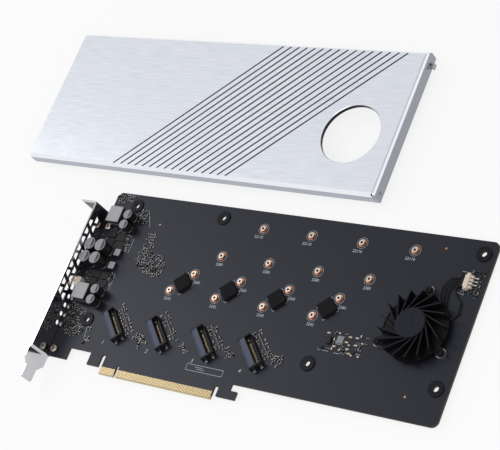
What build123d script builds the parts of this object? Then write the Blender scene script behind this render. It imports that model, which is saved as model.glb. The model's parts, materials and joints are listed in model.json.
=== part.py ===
"""Adapter card that carries four solid-state drive modules, with its cover set aside.

The card lies flat, its component side up. X runs along the card from the bracket to the
fan, Y runs up the card away from the edge contacts, and Z stands out of the component side.
The origin is the middle of the edge connector's key notch, at the contacts' leading edge,
on the board's component face.
"""

from build123d import *
from math import cos, radians, sin, sqrt
import os

os.makedirs("parts", exist_ok=True)

# Circuit board outline
board_thick = 1.57
board_left = -56.9
board_right = 214.4
board_top = 118.7
body_bottom = 11.3
foot_bottom = 4.4
foot_right = -41.5
post_left = -24.1
post_bottom = 4.2
slot_left = -15.2
tongue_left = -12.15
tongue_right = 72.15
key_width = 1.9
key_depth = 7.6
left_slot_top = 12.2
hook_left = 75.1
hook_right = 88.2
hook_neck_right = 83.0
hook_bottom = 2.4
hook_top = 7.3
hook_slot_top = 8.1
corner_cut = 2.6
corner_radius = 4.0
tongue_bevel = 0.4

# Edge contacts, in the pitch of the slot that they go into
contact_pitch = 1.0
contact_width = 0.7
contact_thick = 0.05
contact_low = 0.5
contact_high = 4.8
contacts_before_key = 11
contacts_after_key = 71
first_contact = 1.5

# Holes for the screws that hold the cover, with a raised collar round each
cover_hole_left = 19.1
cover_hole_right = 7.5
cover_hole_x = (board_left + cover_hole_left, 30.8, 125.9, board_right - cover_hole_right)
cover_hole_low = 31.75
cover_hole_high = 110.8
cover_hole_radius = 1.8
collar_radius = 4.6
collar_high = 0.8

# Drive modules: four sockets in a row, each turned by the same angle
module_count = 4
module_pitch = 34.48
module_turn = 44.65
first_module_x = -16.13
first_module_y = 30.05
module_lengths = (42.0, 60.0, 80.0, 110.0)
socket_back = 2.7
socket_front = 5.3
socket_half = 11.0
socket_end = 1.2
socket_high = 4.2
socket_floor = 1.5
slot_high = 3.05
roof_front = 1.9
roof_slope = 1.7
roof_drop = 1.3
lip_thick = 0.7
lip_high = 2.0
lip_step = 1.2
pin_pitch = 0.5
pin_width = 0.26
pin_high = 0.25
pin_start = 0.2
pin_end = 3.3
pin_positions = 37
key_pins = (29, 30, 31, 32)
nut_radius = 1.75
nut_high = 1.1
nut_bore = 0.8
nut_hole_radius = 1.1
pad_side = 9.3
pad_along = 51.55
pad_aside = -1.5
pad_high = 2.1

# Bracket of folded sheet, with its tongue, its screw tab and two ears under the board
bracket_thick = 0.86
bracket_gap = 0.4
bracket_low = -3.4
bracket_wide = 18.4
bracket_bend = 4.9
bracket_jog = 1.3
jog_run = 1.6
tongue_reach = 15.0
tongue_shoulder = 2.6
tongue_taper = 4.4
tongue_low_edge = 1.3
tongue_high_edge = 11.2
tab_level = 103.0
tab_reach = 11.4
tab_slot_width = 4.42
tab_slot_deep = 5.2
tab_slot_from_face = 5.8
vent_pitch = 5.87
vent_wide = 5.2
vent_narrow = 2.3
vent_lean = 0.5
vent_rows = ((10.3, 13.6, 43.0), (6.0, 9.2, 40.9))
vent_counts = (9, 10)
window_start = 47.6
window_end = 55.9
window_low = 1.7
window_high = 4.9
led_y = (43.1, 37.25, 31.35, 25.3)
led_z = 2.75
led_hole_radius = 1.5
ear_y = (9.2, 93.8)
ear_wide = 8.0
ear_reach = 7.4
screw_inset = 4.4
screw_radius = 1.45
screw_hole_radius = 1.6
screw_head_radius = 2.4
screw_head_high = 1.9
screw_length = 3.0

# Status lamps at the board's edge
lamp_deep = 2.0
lamp_long = 2.8
lamp_high = 1.2
lens_long = 1.4
lens_high = 0.7
lens_reach = 0.4

# Fan switch behind the bracket
switch_y = 54.4
switch_long = 6.0
switch_deep = 4.0
switch_high = 4.2
switch_gap = 0.25
lever_z = 2.6
lever_thick = 1.4
lever_wide = 1.6
lever_reach = 3.6
lever_travel = 1.6
lever_play = 0.3
slider_foot = 2.6
slider_thick = 1.1
slider_inset = 0.8

# Power parts beside the bracket
choke_wide = 10.2
choke_long = 10.6
choke_high = 8.3
choke_spots = ((-45.9, 100.2), (-46.1, 46.7))
tall_radius = 4.0
tall_high = 10.5
tall_spots = ((-52.9, 77.4), (-44.4, 77.4), (-52.9, 68.6), (-44.4, 68.6))
short_radius = 3.15
short_high = 7.7
short_spots = ((-36.2, 101.4), (-36.2, 94.5), (-36.1, 49.6), (-36.1, 42.6))
plinth_high = 0.6
bead_level = 1.3
bead_deep = 0.4
can_shoulder = 0.4
chip_wide = 6.0
chip_long = 5.0
chip_high = 1.0
chip_spots = ((-47.3, 89.9), (-46.2, 84.1), (-38.9, 88.1), (-37.6, 82.8),
              (-46.2, 61.7), (-46.6, 56.3), (-38.7, 61.4), (-38.0, 55.9))
small_choke_side = 4.6
small_choke_high = 2.2
small_choke_spots = ((-36.2, 77.5), (-36.3, 68.5))

# Fan
fan_x = 184.15
fan_y = 61.9
fan_base_radius = 19.4
fan_base_thick = 2.8
fan_rim_thick = 0.6
fan_rim_high = 0.4
fan_ear_radius = 2.5
fan_ear_low = 2.2
fan_ear_thick = 1.0
standoff_radius = 2.8
standoff_bore = 1.1
fan_ear_circle = 22.4
fan_ear_turn = 90.0
fan_ears = 3
boss_radius = 3.0
boss_high = 8.0
bearing_radius = 2.2
shaft_radius = 0.75
shaft_play = 0.05
rotor_lift = 0.8
hub_radius = 8.8
hub_top = 10.0
hub_wall = 0.9
hub_roof = 1.2
blade_count = 17
blade_reach = 19.8
blade_thick = 0.7
blade_top = 9.1
blade_turn = 1.8
blade_offset = 7.95
magnet_thick = 0.7
magnet_play = 0.5
stator_low = 4.4
stator_high = 7.0
pole_width = 1.6
pole_count = 4
shoe_thick = 1.0
shoe_gap = 1.4
coil_thick = 0.7
fan_screw_radius = 0.95
fan_screw_head = 1.8
fan_screw_head_high = 1.0
fan_screw_length = 3.4
recess_long = 2.0
recess_wide = 0.5
fan_screw_play = 0.05

# Fan connector and its leads
header_x = 202.3
header_y = 93.1
header_long = 9.2
header_deep = 2.6
header_high = 3.2
pin_count = 4
header_pitch = 2.0
prong_long = 1.9
prong_wide = 1.1
tail_long = 2.2
tail_wide = 0.6
tail_thick = 0.3
plug_deep = 3.0
plug_long = 7.6
plug_high = 2.4
lead_radius = 0.4
lead_z = 0.95
lead_pitch = 1.25
lead_routes = (
    ((193.6, 94.2), (190.2, 89.1), (190.4, 83.2), 63.0),
    ((195.0, 92.5), (192.3, 88.6), (192.5, 83.2), 57.0),
    ((196.2, 90.8), (194.4, 87.4), (194.9, 82.2), 51.0),
    ((197.2, 88.9), (199.8, 84.8), (204.0, 80.8), (204.6, 74.6), 25.0),
)

# Small parts on the board
driver_spot = (140.8, 48.2)
driver_side = 4.2
driver_high = 0.9
diode_spot = (133.9, 47.1)
diode_wide = 2.6
diode_long = 4.3
diode_high = 1.3
cap_long = 1.6
cap_wide = 0.8
cap_high = 0.8
driver_cap_spots = ((132.2, 51.3), (146.4, 51.0), (150.8, 51.1), (151.4, 46.8), (145.1, 47.7),
                    (138.3, 44.2), (147.0, 43.9), (148.9, 41.5))
socket_cap_along = 9.4
socket_cap_pitch = 3.1
socket_cap_count = 6

# Cover of formed aluminium, and where it is set down beside the card
cover_top_level = 14.2
cover_left_margin = 17.35
cover_right_margin = 6.55
cover_back_margin = 7.7
cover_front_margin = 6.05
cover_bevel = 2.0
cover_wall = 1.5
cover_deep = 8.0
cover_shift_x = -82.0
cover_shift_y = 108.6
cover_hole = 19.35
cover_hole_edge = 0.4
groove_count = 16
groove_pitch = 6.0
groove_start = 74.2
groove_wide = 1.1
groove_deep = 0.45
post_radius = 3.0
post_bore = 1.25
post_bore_deep = 6.0
end_thick = 2.6
end_bevel = 1.8
end_head_deep = 0.6
end_screw_insets = (1.9, 4.2)
end_screw_drop = 4.2
end_screw_radius = 0.9
end_screw_head = 1.5
end_screw_key = 0.65
end_screw_length = 5.0
end_screw_play = 0.05
port_radius = 1.9
port_long = 3.2
lug_inset = 6.4
lug_long = 3.2
lug_reach = 2.6
lug_thick = 1.0
lug_drop = 6.0
lug_hook = 1.0
thermal_wide = 20.0
thermal_long = 64.0
thermal_thick = 1.5
thermal_start = 14.0

# Places worked out from the sizes above
bracket_inner = board_left - bracket_gap
bracket_outer = bracket_inner - bracket_thick
bracket_high = bracket_low + bracket_wide
screw_x = bracket_inner + screw_inset
cover_holes = ([(x, cover_hole_high) for x in (cover_hole_x[0], cover_hole_x[1], cover_hole_x[3])]
               + [(x, cover_hole_low) for x in (cover_hole_x[0], cover_hole_x[2], cover_hole_x[3])])
contact_places = ([-first_contact - contact_pitch * i for i in range(contacts_before_key)]
                  + [first_contact + contact_pitch * i for i in range(contacts_after_key)])
along = (cos(radians(module_turn)), sin(radians(module_turn)), 0)
fan_ear_spots = [(fan_x + fan_ear_circle * cos(radians(fan_ear_turn + 360 * i / fan_ears)),
                  fan_y + fan_ear_circle * sin(radians(fan_ear_turn + 360 * i / fan_ears)))
                 for i in range(fan_ears)]


def module_plane(index, height=0.0):
    """Plane of one module: its X runs along the module from the socket outwards."""
    origin = (first_module_x + module_pitch * index, first_module_y, height)
    return Plane(origin=origin, x_dir=along, z_dir=(0, 0, 1))


def module_point(index, run):
    """Point on the board under a module, at a distance along it."""
    return (first_module_x + module_pitch * index + along[0] * run, first_module_y + along[1] * run)


nut_spots = [module_point(i, run) for i in range(module_count) for run in module_lengths]


def patch(x0, y0, x1, y1, mode=Mode.ADD):
    """Rectangle between two corners, in the sketch that is open."""
    with Locations(((x0 + x1) / 2, (y0 + y1) / 2)):
        Rectangle(abs(x1 - x0), abs(y1 - y0), mode=mode)


# Circuit board: one routed panel with its edge tongue, key notch and retention hook
with BuildPart() as board:
    with BuildSketch(Plane.XY.offset(-board_thick)):
        patch(board_left, body_bottom, board_right, board_top)
        patch(board_left, foot_bottom, foot_right, body_bottom + 1)
        patch(post_left, post_bottom, slot_left, body_bottom + 1)
        patch(slot_left, hook_slot_top, hook_neck_right, body_bottom + 1)
        patch(tongue_left, 0, tongue_right, hook_slot_top)
        patch(hook_left, hook_bottom, hook_neck_right, hook_slot_top)
        patch(hook_left, hook_bottom, hook_right, hook_top)
        patch(slot_left, 0, tongue_left, left_slot_top - (tongue_left - slot_left) / 2, Mode.SUBTRACT)
        with Locations(((slot_left + tongue_left) / 2, left_slot_top - (tongue_left - slot_left) / 2)):
            Circle((tongue_left - slot_left) / 2, mode=Mode.SUBTRACT)
        patch(-key_width / 2, 0, key_width / 2, key_depth - key_width / 2, Mode.SUBTRACT)
        with Locations((0, key_depth - key_width / 2)):
            Circle(key_width / 2, mode=Mode.SUBTRACT)
        patch(foot_right, foot_bottom - 1, post_left, body_bottom + 0.8, Mode.SUBTRACT)
        with Locations(*cover_holes):
            Circle(cover_hole_radius, mode=Mode.SUBTRACT)
        with Locations(*nut_spots):
            Circle(nut_hole_radius, mode=Mode.SUBTRACT)
        with Locations(*[(screw_x, y) for y in ear_y]):
            Circle(screw_hole_radius, mode=Mode.SUBTRACT)
        with Locations(*fan_ear_spots):
            Circle(fan_screw_radius + fan_screw_play, mode=Mode.SUBTRACT)
    extrude(amount=board_thick)
    upright = board.edges().filter_by(Axis.Z)
    right_corners = upright.group_by(Axis.X)[-1]
    fillet(right_corners, corner_radius)
    left_top = board.edges().filter_by(Axis.Z).group_by(Axis.X)[0].sort_by(Axis.Y)[-1]
    chamfer(left_top, corner_cut)
    leading = board.edges().filter_by(Axis.X).group_by(Axis.Y)[0]
    chamfer(leading, tongue_bevel)
board.part.label = "circuit_board"
export_step(board.part, "parts/circuit_board.step")

# Edge contacts: plated fingers on both faces of the tongue
with BuildPart() as contacts:
    for level in (0.0, -board_thick - contact_thick):
        with BuildSketch(Plane.XY.offset(level)):
            with Locations(*[(x, (contact_low + contact_high) / 2) for x in contact_places]):
                Rectangle(contact_width, contact_high - contact_low)
        extrude(amount=contact_thick)
contacts.part.label = "edge_contacts"
export_step(contacts.part, "parts/edge_contacts.step")

# Module nuts: soldered round nuts that take each module's end screw
with BuildPart() as nuts:
    with BuildSketch(Plane.XY):
        with Locations(*nut_spots):
            Circle(nut_radius)
            Circle(nut_bore, mode=Mode.SUBTRACT)
    extrude(amount=nut_high)
nuts.part.label = "module_nuts"
export_step(nuts.part, "parts/module_nuts.step")

# Hole collars: raised rings that the cover's posts land on
with BuildPart() as collars:
    with BuildSketch(Plane.XY):
        with Locations(*cover_holes):
            Circle(collar_radius)
            Circle(cover_hole_radius, mode=Mode.SUBTRACT)
    extrude(amount=collar_high)
    rims = collars.edges().filter_by(GeomType.CIRCLE).group_by(Axis.Z)[-1]
    chamfer(rims.filter_by(lambda rim: rim.radius > cover_hole_radius + 0.1), 0.3)
collars.part.label = "hole_collars"
export_step(collars.part, "parts/hole_collars.step")

# Bracket: one folded sheet with a screw tab, a jogged tongue, vents and two ears
with BuildPart() as bracket:
    with BuildSketch(Plane.XY.offset(bracket_low)):
        with BuildLine():
            Polyline(
                (bracket_outer - tab_reach, tab_level),
                (bracket_outer, tab_level),
                (bracket_outer, bracket_bend),
                (bracket_outer - bracket_jog, bracket_bend - jog_run),
                (bracket_outer - bracket_jog, -tongue_reach),
                (bracket_inner - bracket_jog, -tongue_reach),
                (bracket_inner - bracket_jog, bracket_bend - jog_run),
                (bracket_inner, bracket_bend),
                (bracket_inner, tab_level + bracket_thick),
                (bracket_outer - tab_reach, tab_level + bracket_thick),
                close=True,
            )
        make_face()
    extrude(amount=bracket_wide)
    bend_line = bracket.edges().filter_by(Axis.Z).sort_by_distance(
        Vertex(bracket_inner, tab_level + bracket_thick, bracket_low))[0]
    fillet(bend_line, bracket_thick * 0.9)
    with BuildSketch(Plane.YZ.offset(bracket_outer - bracket_jog - 1)):
        with BuildLine():
            Polyline(
                (-tongue_shoulder, bracket_high + 1), (-tongue_shoulder, bracket_high),
                (-tongue_shoulder - tongue_taper, tongue_high_edge),
                (-tongue_reach + 1, tongue_high_edge - 0.3), (-tongue_reach, tongue_high_edge - 1.3),
                (-tongue_reach - 1, tongue_high_edge - 1.3), (-tongue_reach - 1, bracket_high + 1),
                close=True,
            )
        make_face()
        with BuildLine():
            Polyline(
                (-tongue_shoulder, bracket_low - 1), (-tongue_shoulder, bracket_low),
                (-tongue_shoulder - tongue_taper, tongue_low_edge),
                (-tongue_reach + 1, tongue_low_edge), (-tongue_reach, tongue_low_edge + 1),
                (-tongue_reach - 1, tongue_low_edge + 1), (-tongue_reach - 1, bracket_low - 1),
                close=True,
            )
        make_face()
    extrude(amount=bracket_jog + bracket_thick + 2, mode=Mode.SUBTRACT)
    with BuildSketch(Plane.YZ.offset(bracket_outer - 1)):
        for (low, high, start), count in zip(vent_rows, vent_counts):
            for i in range(count):
                y = start + vent_pitch * i
                if y > tab_level - vent_pitch:
                    continue
                wide, narrow = (vent_wide, vent_narrow) if i % 2 == 0 else (vent_narrow, vent_wide)
                with BuildLine():
                    Polyline(
                        (y - wide / 2, low), (y + wide / 2, low),
                        (y + narrow / 2 + vent_lean, high), (y - narrow / 2 + vent_lean, high),
                        close=True,
                    )
                make_face()
        with Locations(*[(y, led_z) for y in led_y]):
            Circle(led_hole_radius)
        patch(window_start, window_low, window_end, window_high)
    extrude(amount=bracket_thick + 2, mode=Mode.SUBTRACT)
    with BuildSketch(Plane.XY.offset(-board_thick - bracket_thick)):
        for y in ear_y:
            patch(bracket_inner - bracket_thick / 2, y - ear_wide / 2,
                  bracket_inner + ear_reach, y + ear_wide / 2)
    extrude(amount=bracket_thick)
    with BuildSketch(Plane.XY.offset(-board_thick - bracket_thick)):
        with Locations(*[(screw_x, y) for y in ear_y]):
            Circle(screw_radius + 0.05)
    extrude(amount=bracket_thick, mode=Mode.SUBTRACT)
    with BuildSketch(Plane.XZ.offset(-tab_level - 2)):
        slot_x = bracket_outer - tab_slot_from_face
        slot_end = bracket_low + tab_slot_deep - tab_slot_width / 2
        patch(slot_x - tab_slot_width / 2, bracket_low - 1, slot_x + tab_slot_width / 2, slot_end)
        with Locations((slot_x, slot_end)):
            Circle(tab_slot_width / 2)
    extrude(amount=bracket_thick + 3, both=True, mode=Mode.SUBTRACT)
bracket.part.label = "bracket"
export_step(bracket.part, "parts/bracket.step")

# Bracket screws: two cross-head screws down through the board into the ears
with BuildPart() as bracket_screws:
    with BuildSketch(Plane.XY.offset(-screw_length)):
        with Locations(*[(screw_x, y) for y in ear_y]):
            Circle(screw_radius)
    extrude(amount=screw_length)
    with BuildSketch(Plane.XY):
        with Locations(*[(screw_x, y) for y in ear_y]):
            Circle(screw_head_radius)
    extrude(amount=screw_head_high)
    crowns = bracket_screws.edges().filter_by(GeomType.CIRCLE).group_by(Axis.Z)[-1]
    fillet(crowns, screw_head_high * 0.5)
    with BuildSketch(Plane.XY.offset(screw_head_high)):
        with Locations(*[(screw_x, y) for y in ear_y]):
            Rectangle(screw_head_radius * 1.2, 0.7)
            Rectangle(0.7, screw_head_radius * 1.2)
    extrude(amount=-screw_head_high * 0.5, mode=Mode.SUBTRACT)
bracket_screws.part.label = "bracket_screws"
export_step(bracket_screws.part, "parts/bracket_screws.step")

# Module sockets: a moulded body open at the front, with an end block at each side
for index in range(module_count):
    base = module_plane(index)
    section = Plane(origin=base.origin, x_dir=base.x_dir, z_dir=base.x_dir.cross(Vector(0, 0, 1)))
    body_half = socket_half - socket_end
    with BuildPart() as socket:
        with BuildSketch(section):
            with BuildLine():
                Polyline(
                    (-socket_back, 0), (socket_front, 0), (socket_front, lip_high),
                    (socket_front - lip_thick, lip_high), (socket_front - lip_thick, socket_floor - 0.3),
                    (socket_front - lip_step, socket_floor - 0.3), (socket_front - lip_step, socket_floor),
                    (0, socket_floor), (0, slot_high), (roof_front, slot_high + 0.3),
                    (roof_front, socket_high - 0.3), (roof_front - 0.3, socket_high),
                    (-socket_back + roof_slope, socket_high), (-socket_back, socket_high - roof_drop),
                    close=True,
                )
            make_face()
        extrude(amount=body_half, both=True)
        with BuildSketch(base):
            for side in (-1, 1):
                patch(-socket_back, side * body_half, socket_front, side * socket_half)
        extrude(amount=socket_high)
        chamfer(socket.edges().filter_by(GeomType.LINE).group_by(Axis.Z)[-1]
                .filter_by(lambda e: e.length > socket_front + socket_back - 0.1), 0.2)
    socket.part.label = f"m2_socket_{index + 1}"
    export_step(socket.part, f"parts/m2_socket_{index + 1}.step")

    # The contact row on the socket's floor, with the gap where the module's key goes
    with BuildPart() as pins:
        with BuildSketch(module_plane(index, socket_floor)):
            span = pin_pitch * (pin_positions - 1)
            rows = [-span / 2 + pin_pitch * i for i in range(pin_positions) if i not in key_pins]
            with Locations(*[((pin_start + pin_end) / 2, v) for v in rows]):
                Rectangle(pin_end - pin_start, pin_width)
        extrude(amount=pin_high)
    pins.part.label = f"m2_contacts_{index + 1}"
    export_step(pins.part, f"parts/m2_contacts_{index + 1}.step")

    # Support pad under the middle of the module
    with BuildPart() as pad:
        with BuildSketch(base):
            with Locations((pad_along, pad_aside)):
                RectangleRounded(pad_side, pad_side, 0.6)
        extrude(amount=pad_high)
    pad.part.label = f"support_pad_{index + 1}"
    export_step(pad.part, f"parts/support_pad_{index + 1}.step")

# Big chokes: pressed blocks with a parting groove round the middle
for index, spot in enumerate(choke_spots):
    with BuildPart() as choke:
        with BuildSketch(Plane.XY):
            with Locations(spot):
                RectangleRounded(choke_wide, choke_long, 0.8)
        extrude(amount=choke_high)
        chamfer(choke.faces().sort_by(Axis.Z)[-1].edges(), 0.35)
        with BuildSketch(Plane.XY.offset(choke_high * 0.45)):
            with Locations(spot):
                Rectangle(choke_wide + 1, choke_long + 1)
                Rectangle(choke_wide - 0.5, choke_long - 0.5, mode=Mode.SUBTRACT)
        extrude(amount=0.5, mode=Mode.SUBTRACT)
    choke_name = ("upper_choke", "lower_choke")[index]
    choke.part.label = choke_name
    export_step(choke.part, f"parts/{choke_name}.step")

# Round capacitors in two sizes: a beaded can on a square plinth with two cut corners
for size, radius, high, spots in (("tall", tall_radius, tall_high, tall_spots),
                                  ("short", short_radius, short_high, short_spots)):
    with BuildPart() as one_can:
        with BuildSketch(Plane.XY):
            Rectangle(radius * 2, radius * 2)
        extrude(amount=plinth_high)
        chamfer(one_can.edges().filter_by(Axis.Z).group_by(Axis.X)[-1], radius * 0.4)
        with BuildSketch(Plane.XZ):
            with BuildLine():
                Polyline(
                    (0, plinth_high), (radius, plinth_high), (radius, bead_level - bead_deep),
                    (radius - bead_deep, bead_level), (radius, bead_level + bead_deep),
                    (radius, high - can_shoulder), (radius - can_shoulder, high), (0, high),
                    close=True,
                )
            make_face()
        revolve(axis=Axis.Z)
    with BuildPart() as cans:
        with Locations(*[(x, y, 0) for x, y in spots]):
            add(one_can.part)
    cans.part.label = f"{size}_capacitor_cans"
    export_step(cans.part, f"parts/{size}_capacitor_cans.step")

# Power chips: flat moulded packages in two groups of four
with BuildPart() as power_chips:
    with BuildSketch(Plane.XY):
        with Locations(*chip_spots):
            Rectangle(chip_wide, chip_long)
    extrude(amount=chip_high)
    chamfer(power_chips.edges().group_by(Axis.Z)[-1], 0.12)
power_chips.part.label = "power_chips"
export_step(power_chips.part, "parts/power_chips.step")

# Small chokes of the auxiliary supply
with BuildPart() as small_chokes:
    with BuildSketch(Plane.XY):
        with Locations(*small_choke_spots):
            RectangleRounded(small_choke_side, small_choke_side, 0.7)
    extrude(amount=small_choke_high)
    chamfer(small_chokes.edges().group_by(Axis.Z)[-1], 0.25)
small_chokes.part.label = "small_chokes"
export_step(small_chokes.part, "parts/small_chokes.step")

# Status lamps: small packages at the board's edge, one behind each round bracket hole
with BuildPart() as lamps:
    with BuildSketch(Plane.XY):
        with Locations(*[(board_left + lens_reach + 0.1 + lamp_deep / 2, y) for y in led_y]):
            Rectangle(lamp_deep, lamp_long)
    extrude(amount=lamp_high)
    with BuildSketch(Plane.YZ.offset(board_left + lens_reach + 0.1)):
        with Locations(*[(y, lamp_high * 0.6) for y in led_y]):
            Rectangle(lens_long, lens_high)
    extrude(amount=-lens_reach)
lamps.part.label = "status_lamps"
export_step(lamps.part, "parts/status_lamps.step")

# Fan switch body: a moulded box with a guide slot for the slider
switch_front = bracket_inner + switch_gap
guide_long = slider_foot + lever_travel + 2 * lever_play
with BuildPart() as switch_body:
    with BuildSketch(Plane.XY):
        patch(switch_front, switch_y - lever_travel / 2 - switch_long / 2,
              switch_front + switch_deep, switch_y - lever_travel / 2 + switch_long / 2)
    extrude(amount=switch_high)
    fillet(switch_body.edges().filter_by(Axis.Z), 0.4)
    with BuildSketch(Plane.YZ.offset(switch_front + slider_inset)):
        with Locations((switch_y - lever_travel / 2, lever_z)):
            Rectangle(guide_long, lever_thick + 2 * lever_play)
    extrude(amount=slider_thick + 2 * lever_play, mode=Mode.SUBTRACT)
    with BuildSketch(Plane.YZ.offset(switch_front)):
        with Locations((switch_y - lever_travel / 2, lever_z)):
            Rectangle(lever_wide + lever_travel + 2 * lever_play, lever_thick + 2 * lever_play)
    extrude(amount=slider_inset, mode=Mode.SUBTRACT)
switch_body.part.label = "switch_body"
export_step(switch_body.part, "parts/switch_body.step")

# Switch slider: a foot held in the body and a lever out through the bracket
with BuildPart() as slider:
    slider_back = slider_inset + lever_play
    with BuildSketch(Plane.YZ.offset(switch_front + slider_back)):
        with Locations((switch_y, lever_z)):
            Rectangle(slider_foot, lever_thick)
    extrude(amount=slider_thick)
    with BuildSketch(Plane.YZ.offset(switch_front + slider_back)):
        with Locations((switch_y, lever_z)):
            Rectangle(lever_wide, lever_thick)
    extrude(amount=-(lever_reach + bracket_thick + switch_gap + slider_back))
    fillet(slider.faces().sort_by(Axis.X)[0].edges(), 0.3)
slider.part.label = "switch_slider"
export_step(slider.part, "parts/switch_slider.step")

# Fan frame: a round base with three screw ears, a low rim and the bearing boss
fan_plane = Plane(origin=(fan_x, fan_y, 0))
ear_neck = fan_ear_circle - fan_base_radius + fan_ear_radius
with BuildPart() as fan_frame:
    with BuildSketch(fan_plane):
        Circle(fan_base_radius)
    extrude(amount=fan_base_thick)
    with BuildSketch(fan_plane.offset(fan_ear_low)):
        with PolarLocations(fan_ear_circle, fan_ears, start_angle=fan_ear_turn):
            Circle(fan_ear_radius)
        with PolarLocations(fan_ear_circle - ear_neck / 2, fan_ears, start_angle=fan_ear_turn):
            Rectangle(ear_neck, fan_ear_radius * 2)
        with PolarLocations(fan_ear_circle, fan_ears, start_angle=fan_ear_turn):
            Circle(fan_screw_radius + 0.2, mode=Mode.SUBTRACT)
    extrude(amount=fan_ear_thick)
    with BuildSketch(fan_plane.offset(fan_base_thick)):
        Circle(fan_base_radius)
        Circle(fan_base_radius - fan_rim_thick, mode=Mode.SUBTRACT)
        with PolarLocations(fan_ear_circle, fan_ears, start_angle=fan_ear_turn):
            Circle(fan_screw_head + 0.3, mode=Mode.SUBTRACT)
    extrude(amount=fan_rim_high)
    with BuildSketch(fan_plane.offset(fan_base_thick)):
        Circle(boss_radius)
    extrude(amount=boss_high - fan_base_thick)
    with BuildSketch(fan_plane.offset(fan_base_thick)):
        Circle(bearing_radius)
    extrude(amount=boss_high - fan_base_thick, mode=Mode.SUBTRACT)
fan_frame.part.label = "fan_frame"
export_step(fan_frame.part, "parts/fan_frame.step")

# Fan bearing: a sintered sleeve in the boss
with BuildPart() as bearing:
    with BuildSketch(fan_plane.offset(fan_base_thick)):
        Circle(bearing_radius)
        Circle(shaft_radius + shaft_play, mode=Mode.SUBTRACT)
    extrude(amount=boss_high - fan_base_thick)
bearing.part.label = "fan_bearing"
export_step(bearing.part, "parts/fan_bearing.step")

# Stator: stacked plates with four poles round the boss
hub_bore = hub_radius - hub_wall
pole_radius = hub_bore - magnet_thick - magnet_play
with BuildPart() as stator:
    with BuildSketch(fan_plane.offset(stator_low)):
        Circle(pole_radius)
        Circle(pole_radius - shoe_thick, mode=Mode.SUBTRACT)
        with PolarLocations(pole_radius, pole_count, start_angle=180 / pole_count):
            Rectangle(2 * shoe_thick + 1, shoe_gap, mode=Mode.SUBTRACT)
        with PolarLocations(pole_radius / 2, pole_count):
            Rectangle(pole_radius - shoe_thick / 2, pole_width)
        Circle(boss_radius + 1)
        Circle(boss_radius, mode=Mode.SUBTRACT)
    extrude(amount=stator_high - stator_low)
stator.part.label = "fan_stator"
export_step(stator.part, "parts/fan_stator.step")

# Coils: one winding round each pole's neck
coil_long = pole_radius - shoe_thick - boss_radius - 1 - 0.5
with BuildPart() as coils:
    with PolarLocations(boss_radius + 1 + 0.15 + coil_long / 2, pole_count):
        Box(coil_long, pole_width + 2 * coil_thick, stator_high - stator_low + 2 * coil_thick)
        Box(coil_long + 1, pole_width + 0.1, stator_high - stator_low + 0.1, mode=Mode.SUBTRACT)
with BuildPart() as placed_coils:
    with Locations((fan_x, fan_y, (stator_low + stator_high) / 2)):
        add(coils.part)
placed_coils.part.label = "fan_coils"
export_step(placed_coils.part, "parts/fan_coils.step")

# Fan rotor: a cup-shaped hub with straight blades that leave it at a tangent
rotor_low = fan_base_thick + rotor_lift
with BuildPart() as rotor:
    with BuildSketch(fan_plane.offset(rotor_low)):
        Circle(hub_radius)
    extrude(amount=hub_top - rotor_low)
    fillet(rotor.edges().filter_by(GeomType.CIRCLE).group_by(Axis.Z)[-1], 0.6)
    with BuildSketch(fan_plane.offset(rotor_low)):
        blade_long = sqrt(blade_reach ** 2 - (blade_offset + blade_thick / 2) ** 2)
        with PolarLocations(0, blade_count, start_angle=blade_turn):
            with Locations((blade_long / 2, blade_offset)):
                Rectangle(blade_long, blade_thick)
    extrude(amount=blade_top - rotor_low)
    with BuildSketch(fan_plane.offset(rotor_low)):
        Circle(hub_bore)
    extrude(amount=hub_top - hub_roof - rotor_low, mode=Mode.SUBTRACT)
    with BuildSketch(fan_plane.offset(hub_top)):
        with PolarLocations(hub_radius * 0.3, 3, start_angle=75):
            Circle(0.45)
    extrude(amount=-0.3, mode=Mode.SUBTRACT)
rotor.part.label = "fan_rotor"
export_step(rotor.part, "parts/fan_rotor.step")

# Rotor shaft: a ground pin fixed under the hub's roof
with BuildPart() as shaft:
    with BuildSketch(fan_plane.offset(fan_base_thick + 0.3)):
        Circle(shaft_radius)
    extrude(amount=hub_top - hub_roof - fan_base_thick - 0.3)
shaft.part.label = "fan_shaft"
export_step(shaft.part, "parts/fan_shaft.step")

# Rotor magnet: a ring in the hub's bore
with BuildPart() as magnet:
    with BuildSketch(fan_plane.offset(stator_low - 0.5)):
        Circle(hub_bore)
        Circle(hub_bore - magnet_thick, mode=Mode.SUBTRACT)
    extrude(amount=stator_high - stator_low + 1)
magnet.part.label = "fan_magnet"
export_step(magnet.part, "parts/fan_magnet.step")

# Fan standoffs: soldered rings that the ears stand on
with BuildPart() as standoffs:
    with BuildSketch(Plane.XY):
        with Locations(*fan_ear_spots):
            Circle(standoff_radius)
            Circle(standoff_bore, mode=Mode.SUBTRACT)
    extrude(amount=fan_ear_low)
standoffs.part.label = "fan_standoffs"
export_step(standoffs.part, "parts/fan_standoffs.step")

# Fan screws: three small pan heads on the ears
ear_top = fan_ear_low + fan_ear_thick
with BuildPart() as fan_screws:
    with BuildSketch(Plane.XY.offset(-fan_screw_length)):
        with Locations(*fan_ear_spots):
            Circle(fan_screw_radius)
    extrude(amount=fan_screw_length + ear_top)
    with BuildSketch(Plane.XY.offset(ear_top)):
        with Locations(*fan_ear_spots):
            Circle(fan_screw_head)
    extrude(amount=fan_screw_head_high)
    chamfer(fan_screws.edges().filter_by(GeomType.CIRCLE).group_by(Axis.Z)[-1], fan_screw_head_high * 0.4)
    with BuildSketch(Plane.XY.offset(ear_top + fan_screw_head_high)):
        with Locations(*fan_ear_spots):
            Rectangle(recess_long, recess_wide)
            Rectangle(recess_wide, recess_long)
    extrude(amount=-fan_screw_head_high * 0.5, mode=Mode.SUBTRACT)
fan_screws.part.label = "fan_screws"
export_step(fan_screws.part, "parts/fan_screws.step")

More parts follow.
